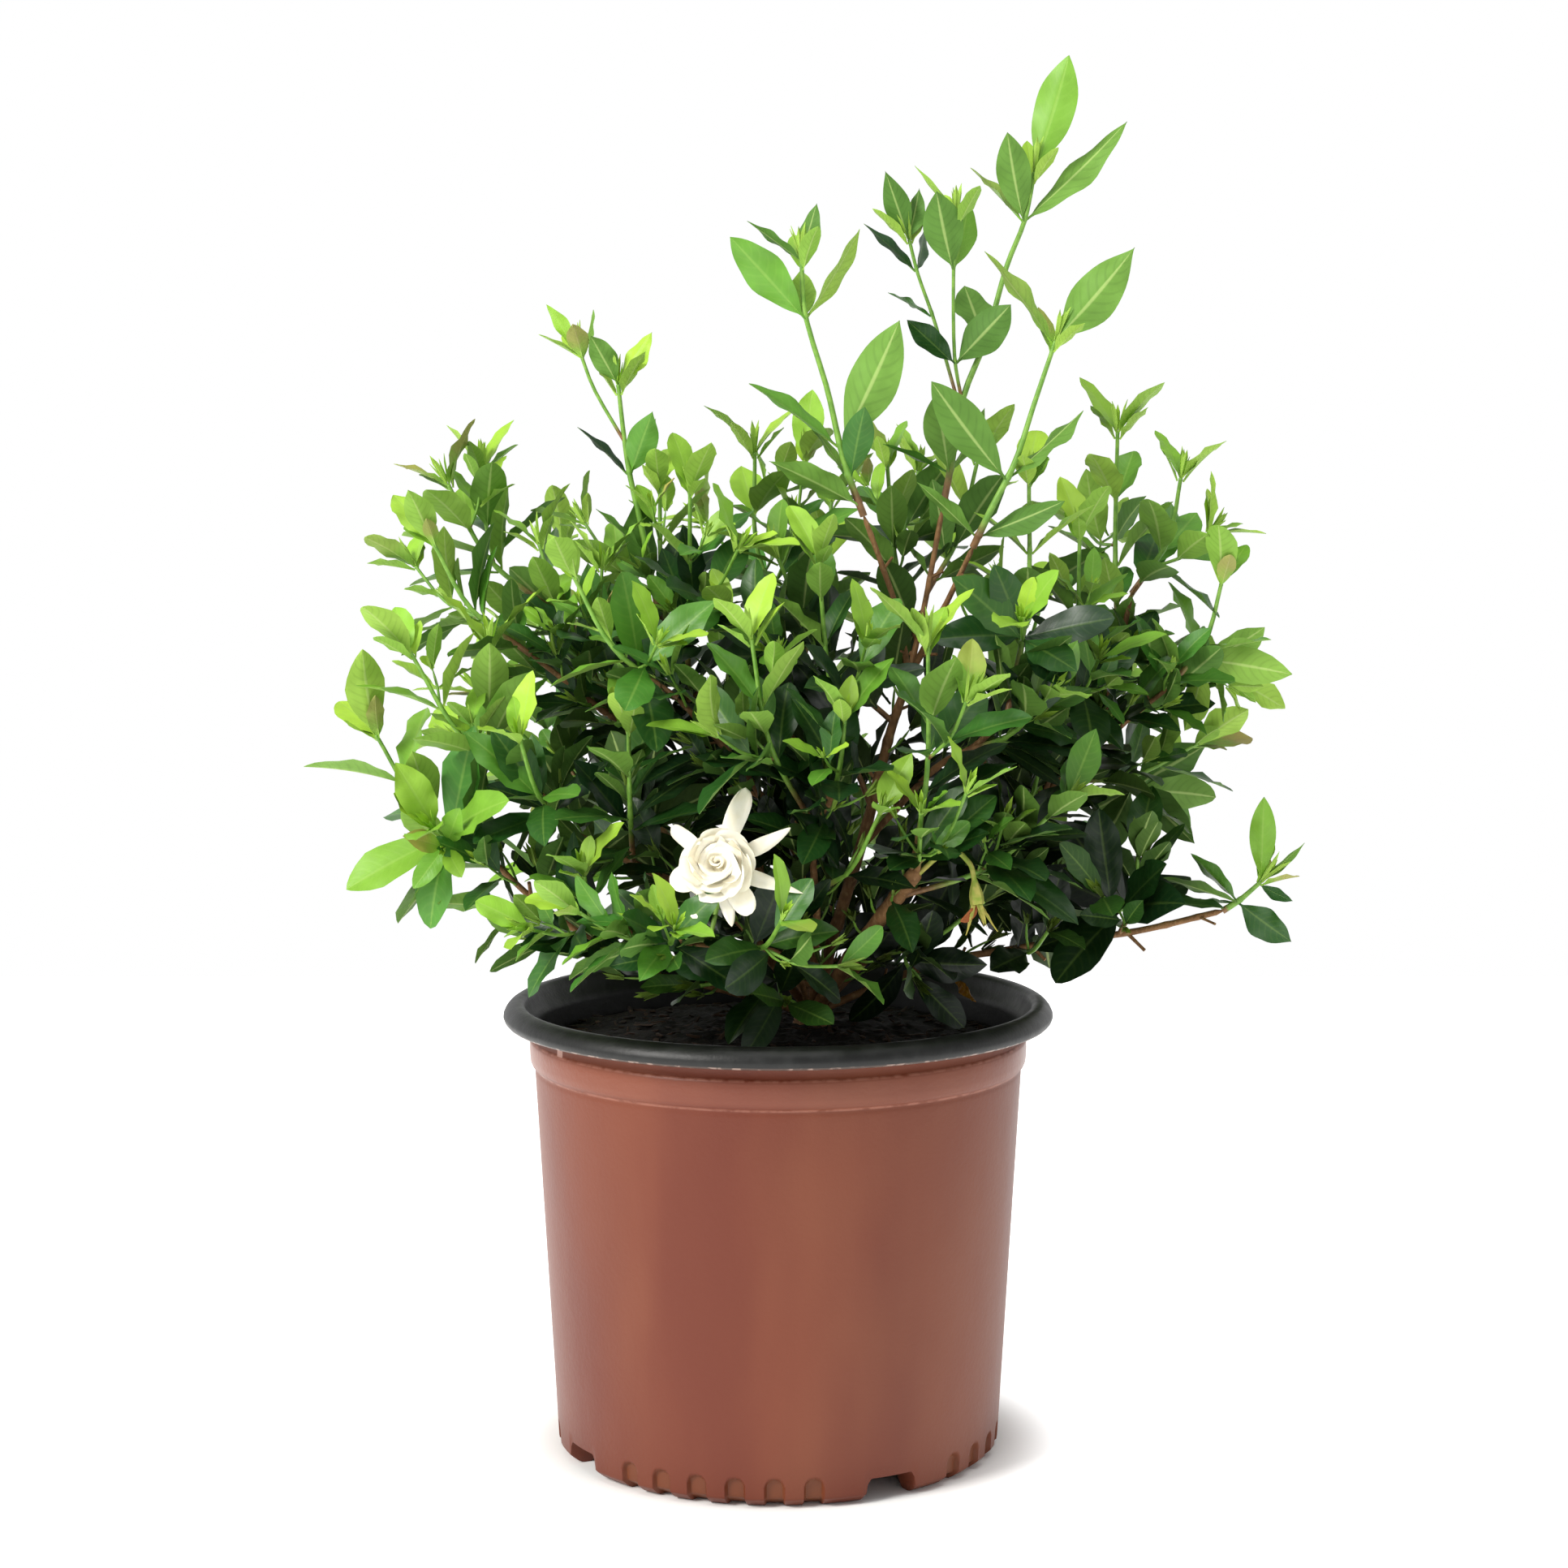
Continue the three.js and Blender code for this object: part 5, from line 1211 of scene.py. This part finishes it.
def lay_petal(shape, base, along, face, length, width, curl, cup, twist=0, roll=0, phase=0, slot=0, lip=0,
              widest=0.72, end=(2.2, 0.5)):
    """A petal: narrow where it starts, broad and rounded further out, cupped across, with a
    loose waved edge that may roll back."""
    u, v = PETAL_ALONG, PETAL_ACROSS
    past = np.clip((u - widest) / (1 - widest), 0, 1)
    outline = np.sin(np.clip(u / widest, 0, 1) ** 0.9 * math.pi / 2)
    outline = outline * np.clip(1.002 - past ** end[0], 0, 1) ** end[1]
    half = np.maximum(width / 2 * outline, 0.9 * (1 - u) + 0.12)
    wave = 0.055 * np.sin(phase + 9 * u + 2.2 * v) * u * v ** 2
    edge = roll * u ** 1.5 * np.maximum(np.abs(v) - 0.45, 0) ** 2
    out = half * v * (1 - 0.25 * cup * v ** 2)
    up = half * (cup * v ** 2 - 2.2 * edge + wave * 3) - curl * length * u ** 2
    up = up + 0.02 * length * np.sin(phase + 5 * u) - lip * length * np.maximum(u - 0.7, 0) ** 2
    up = up - PETAL_IS_UNDER * (0.5 * (1.1 - v ** 2) * (1.2 - 0.7 * u))
    up = up + out * np.sin(twist * u)
    out = out * np.cos(twist * u)
    side = np.cross(face, along)
    rings = base + along * (length * u)[..., None] + side * out[..., None] + face * up[..., None]
    shape.loft(rings, slot, True, along=u, across=v)


def lay_bloom_petal(angle, lean, start, lift, **traits):
    """A petal that starts beside the flower's axis, at an angle round it from the top."""
    out = turned(BLOOM_TOP, BLOOM_FACING, -math.radians(angle))
    along = swung(BLOOM_FACING, out, math.radians(lean))
    base = BLOOM_CENTRE - BLOOM_FACING * (1 - lift) + out * start
    lay_petal(bloom, base, along, facing(BLOOM_FACING - out * 0.2, along), **traits)


def lay_wrapped_petal(angle, radius, spread, height, flare, phase):
    """An inner petal: a broad sheet wrapped round the flower's axis, one side tucked under its
    neighbour, with a soft rounded lip that turns outward."""
    u, v = PETAL_ALONG, PETAL_ACROSS
    round_to = math.radians(angle) + math.radians(spread) * v * (0.5 + 0.5 * np.sin(u * math.pi / 2))
    rise = height * u * (1 - 0.28 * v ** 4) + 0.35 * np.sin(phase + 4 * v) * u ** 2
    rise = np.minimum(rise, height * (1 - 0.2 * u ** 8)) * (1 + 0.1 * math.sin(phase * 3))
    reach = radius * (0.4 + 0.6 * u ** 0.6) * (1 + 0.13 * v) + flare * u ** 4 * (1 - 0.35 * v ** 2)
    reach = reach + 0.3 * np.sin(phase * 2 + 5 * v) * u ** 2
    reach = reach - PETAL_IS_UNDER * (0.55 * (1.1 - v ** 2) * (1.2 - 0.5 * u))
    side = np.cross(BLOOM_FACING, BLOOM_TOP)
    out = BLOOM_TOP * np.cos(round_to)[..., None] - side * np.sin(round_to)[..., None]
    middle = BLOOM_CENTRE + 0.9 * swung(BLOOM_TOP, side, phase * 2.3)
    rings = middle + BLOOM_FACING * rise[..., None] + out * reach[..., None]
    bloom.loft(rings, 0, True, along=0.35 + 0.65 * u, across=v)


bloom = Shape(petal_white())
tube = Route([BLOOM_CENTRE + BLOOM_FACING * ahead for ahead in (-12, -4, 2.5)])
bloom.loft(np.array([tube.ring(t, 2.4 + 3.2 * t ** 2, 16) for t in np.linspace(0, 1, 9)]), along=0.2)
for number, (angle, lean, *traits) in enumerate(OUTER_PETALS):
    lay_bloom_petal(angle, lean, 2.5, 0, cup=0.18, phase=number * 1.7, **dict(zip(OUTER_TRAITS, traits)))
for row, (count, lean, length, width, curl, cup, start, lip, roll) in enumerate(CUPPED_ROWS):
    for i in range(count):
        angle = (i + row * 0.37) * 360 / count + 12 * math.sin(i * 2.3 + row)
        uneven = 1 + 0.1 * math.sin(i * 3.1 + row * 2)
        lay_bloom_petal(
            angle, lean * (1 + 0.1 * math.sin(i * 5.3)), start, row * 0.5,
            length=length * uneven, width=width * (2 - uneven), curl=curl, cup=cup,
            twist=0.45, roll=roll, phase=i * 2.1 + row, lip=lip,
        )
for row, (count, *traits) in enumerate(WRAPPED_ROWS):
    for i in range(count):
        lay_wrapped_petal((i + row * 0.43) * 360 / count, *traits, i * 1.9 + row)
bloom.piece("bloom", "petal", ["bloom"], crease=70)

# The flower's green calyx: a fleshy cup at the end of a short stalk that grows from a low
# limb, with five narrow sepals spread behind the petals.
CALYX_SEAT = BLOOM_CENTRE - BLOOM_FACING * 12.3


def calyx_green():
    finish = Finish("young_green", 0.4)
    green = finish.blend(finish.grain(4).rise(0.35, 0.65), "7da83d", "97bf55")
    return finish.coat(green, 0.45, finish.grain(1.4, (1, 1, 0.4)), 0.12)


def lay_sepals(shape, base, axis, first, lean, length, width, curl=0.0, uneven=0.0):
    """Five narrow pointed leaves round a stalk's end."""
    for i in range(5):
        out = turned(first, axis, i * 2 * math.pi / 5)
        along = swung(axis, out, math.radians(lean))
        sepal = Leaf(base, along, facing(out, along), length * (1 - uneven * (i % 3) / 2), width)
        sepal.set(curl=curl, fold=0.4, wave=0.1, phase=i, sway=0.06 * math.sin(i * 2.4))
        sepal.set(fullest=0.4, thick=0.7, age=0.2, tint=0.4)
        sepal.lay(shape)


green = calyx_green()
calyx = Shape(green, green, green)
neck = CALYX_SEAT - BLOOM_FACING * 7
root = place_on("frontLow", 0.62)
stalk = Route([root, (root + neck) / 2 + np.array([0, 4, -1]), neck, CALYX_SEAT])
thick = [(t, 1.2 + 1.5 * max(0, t - 0.6) ** 1.5 / 0.25) for t in np.linspace(0.02, 1, 22)]
calyx.loft(np.array([stalk.ring(t, radius, 12) for t, radius in thick]), age=0.1)
lay_sepals(calyx, CALYX_SEAT - BLOOM_FACING * 4, BLOOM_FACING, BLOOM_TOP, 110, 14, 3.4)
calyx.piece("bloom_calyx", "young_green", ["bloom_calyx"])

# What is left of an earlier flower: a ribbed husk hanging from its stalk, with five dry
# sepals and a shrivelled brown scrap of petal.
SPENT_ROUTE = [(84, -102, 333), (95, -106, 328), (98, -107, 318)]
SPENT_HANG = unit(np.array([0.12, -0.15, -1]))


def dry_green():
    finish = Finish("withered", 0.3)
    green = finish.blend(finish.grain(4, detail=5).rise(0.35, 0.65), "7d8f35", "a39c50")
    colour = finish.blend(finish.axis("Z").rise(0.31, 0.29) * 0.5, green, "a98a42")
    return finish.coat(colour, 0.7, finish.grain(1.2, (1, 1, 0.3), 5), 0.3)


def dry_brown():
    finish = Finish("withered_petal", 0.2)
    mottle = finish.grain(3, detail=5)
    return finish.coat(finish.blend(mottle, "5a2c18", "a9653a"), 0.85, mottle, 0.6)


green, brown = dry_green(), dry_brown()
spent = Shape(green, green, green, brown)
stalk = Route([place_on("stump", 0.84), *SPENT_ROUTE])
spent.loft(np.array([stalk.ring(t, 1.3, 10) for t in np.linspace(0.05, 1, 24)]), age=0.6)
end = stalk.at(1)
husk = Route([end + SPENT_HANG * below for below in (-1.5, 4, 11)])
thick = [(t, 1.3 + 2.1 * math.sin(math.pi * min(t * 0.62, 1)) ** 1.3) for t in np.linspace(0, 1, 14)]
rows = np.array([husk.ring(t, radius, 20) for t, radius in thick])
ribs = 1 + 0.12 * np.cos(np.arange(20) * 2 * math.pi / 4)
centres = rows.mean(axis=1)[:, None]
spent.loft(centres + (rows - centres) * ribs[None, :, None], age=0.6)
lay_sepals(spent, end + SPENT_HANG * 5, SPENT_HANG, unit(np.array([1, 0, 0.1])), 16, 22, 3.2, -0.12, 0.3)
scrap = turned(unit(np.array([-1, -0.2, 0.1])), SPENT_HANG, 0.3)
along = unit(SPENT_HANG + scrap * 0.55)
face = unit(np.cross(along, (0, 1, 0)))
lay_petal(spent, end + SPENT_HANG * 9, along, face, 13, 7, 0.25, 0.9, twist=1.4, roll=0.9, phase=2, slot=3)
spent.piece("spent_bloom", "withered", ["spent_bloom"])

# Two leaves low in the bush that have yellowed with age, mottled gold with brown spots. They
# are thin blades as the green ones are, still on their limbs and about to drop.
YELLOW_LEAVES = {
    "yellow_leaf_front": ("front", 0.22, (-20, -14, -2)),
    "yellow_leaf_right": ("rightLow", 0.3, (12, -14, -19)),
}


def yellow_finish():
    finish = Finish("yellow_leaf", 0.4)
    mottle = finish.grain(6, detail=5)
    gold = finish.blend(mottle.rise(0.3, 0.7), "c9911f", "a86a14")
    spotted = finish.blend(finish.grain(2.4).rise(0.62, 0.7) * 0.8, gold, "5c3210")
    colour = finish.blend(finish.value("across").rise(0.1, 0.04) * 0.6, spotted, "dcb75a")
    return finish.coat(colour, 0.5, mottle + (finish.value("along") * 60).sine(), 0.15)


gold = yellow_finish()
for name, (limb, share, reach) in YELLOW_LEAVES.items():
    leaf = reaching_leaf(place_on(limb, share), reach, 9, 60)
    middle = leaf.base + leaf.along * leaf.length / 2
    leaf.base = leaf.base + leaf.along * (middle_of(name) - middle).dot(leaf.along)
    leaf.set(age=1, tint=0.5, fold=0.3, wave=0.12, fullest=0.5, sway=0.1)
    yellow = Shape(gold, gold, gold)
    leaf.lay(yellow)
    yellow.piece(name, "yellow_leaf", [name])

# The ground is a pale floor under soft studio light from the front left, with a weaker
# fill and a broad top light. Away from the pot the floor glows white, painted light that
# washes out the pot's shadow. The camera stands where the photograph was taken from.
FLOOR_REACH, FLOOR_GLOW = 1.5, 0.84
LIGHTS = {
    "key": ((-2.2, -1.7, 2), (0, 0, 0.35), 1.3, 110, (1, 0.98, 0.94)),
    "fill": ((2.2, -1.9, 1.1), (0, 0, 0.35), 1.8, 0.4, (0.95, 0.98, 1)),
    "top": ((0.3, -0.6, 2.7), (0, 0, 0.4), 2, 26, (1, 1, 1)),
}
CAMERA_LENS, CAMERA_DOWN = 74.53, 6.16


def floor_finish():
    finish = Finish("floor_pale", 0.1)
    # Painted light: the floor glows white away from the pot, washing out the pot's cast shadow; close
    # round its foot it does not glow.
    away = finish.out_squared().rise(0.0125, 0.027)
    finish.set({"Emission Color": finish.blend(away, "000000", "ffffff"), "Emission Strength": FLOOR_GLOW})
    finish.material.cycles.emission_sampling = "NONE"
    return finish.coat(finish.blend(finish.grain(60), "f7f7f6", "fbfbfa"), 0.95, finish.grain(2), 0.05)


floor_mesh = bpy.data.meshes.new("floor")
corners = [(x * FLOOR_REACH, y * FLOOR_REACH, 0) for x, y in ((-1, -1), (1, -1), (1, 1), (-1, 1))]
floor_mesh.from_pydata(corners, [], [(0, 1, 2, 3)])
floor_mesh.materials.append(floor_finish().material)
floor = stand("floor", floor_mesh)

for name, (place, aim, width, power, colour) in LIGHTS.items():
    lamp = bpy.data.lights.new(name, "AREA")
    lamp.shape, lamp.size, lamp.energy, lamp.color = "DISK", width, power, colour
    made = stand(name, lamp)
    made.location = place
    made.rotation_euler = (Vector(aim) - Vector(place)).to_track_quat("-Z", "Y").to_euler()

world = bpy.data.worlds.new("studio")
world.use_nodes = True
backdrop = Wiring(world.node_tree, "Background")
ways = backdrop.node("TexCoord", {}, {}, "Generated")
height = backdrop.node("SeparateXYZ", {}, {0: ways}, "Z")
backdrop.set({"Color": backdrop.blend(height.rise(0.3, 0.5), "ffffff", "a5a5a5")})
bpy.context.scene.world = world
bpy.context.scene.view_settings.view_transform = "Standard"

camera_data = bpy.data.cameras.new("camera")
camera_data.sensor_width, camera_data.lens = 36, CAMERA_LENS
camera = stand("camera", camera_data)
camera.location = CAMERA_PLACE / 1000
camera.rotation_euler = (math.radians(90 - CAMERA_DOWN), 0, 0)
bpy.context.scene.camera = camera
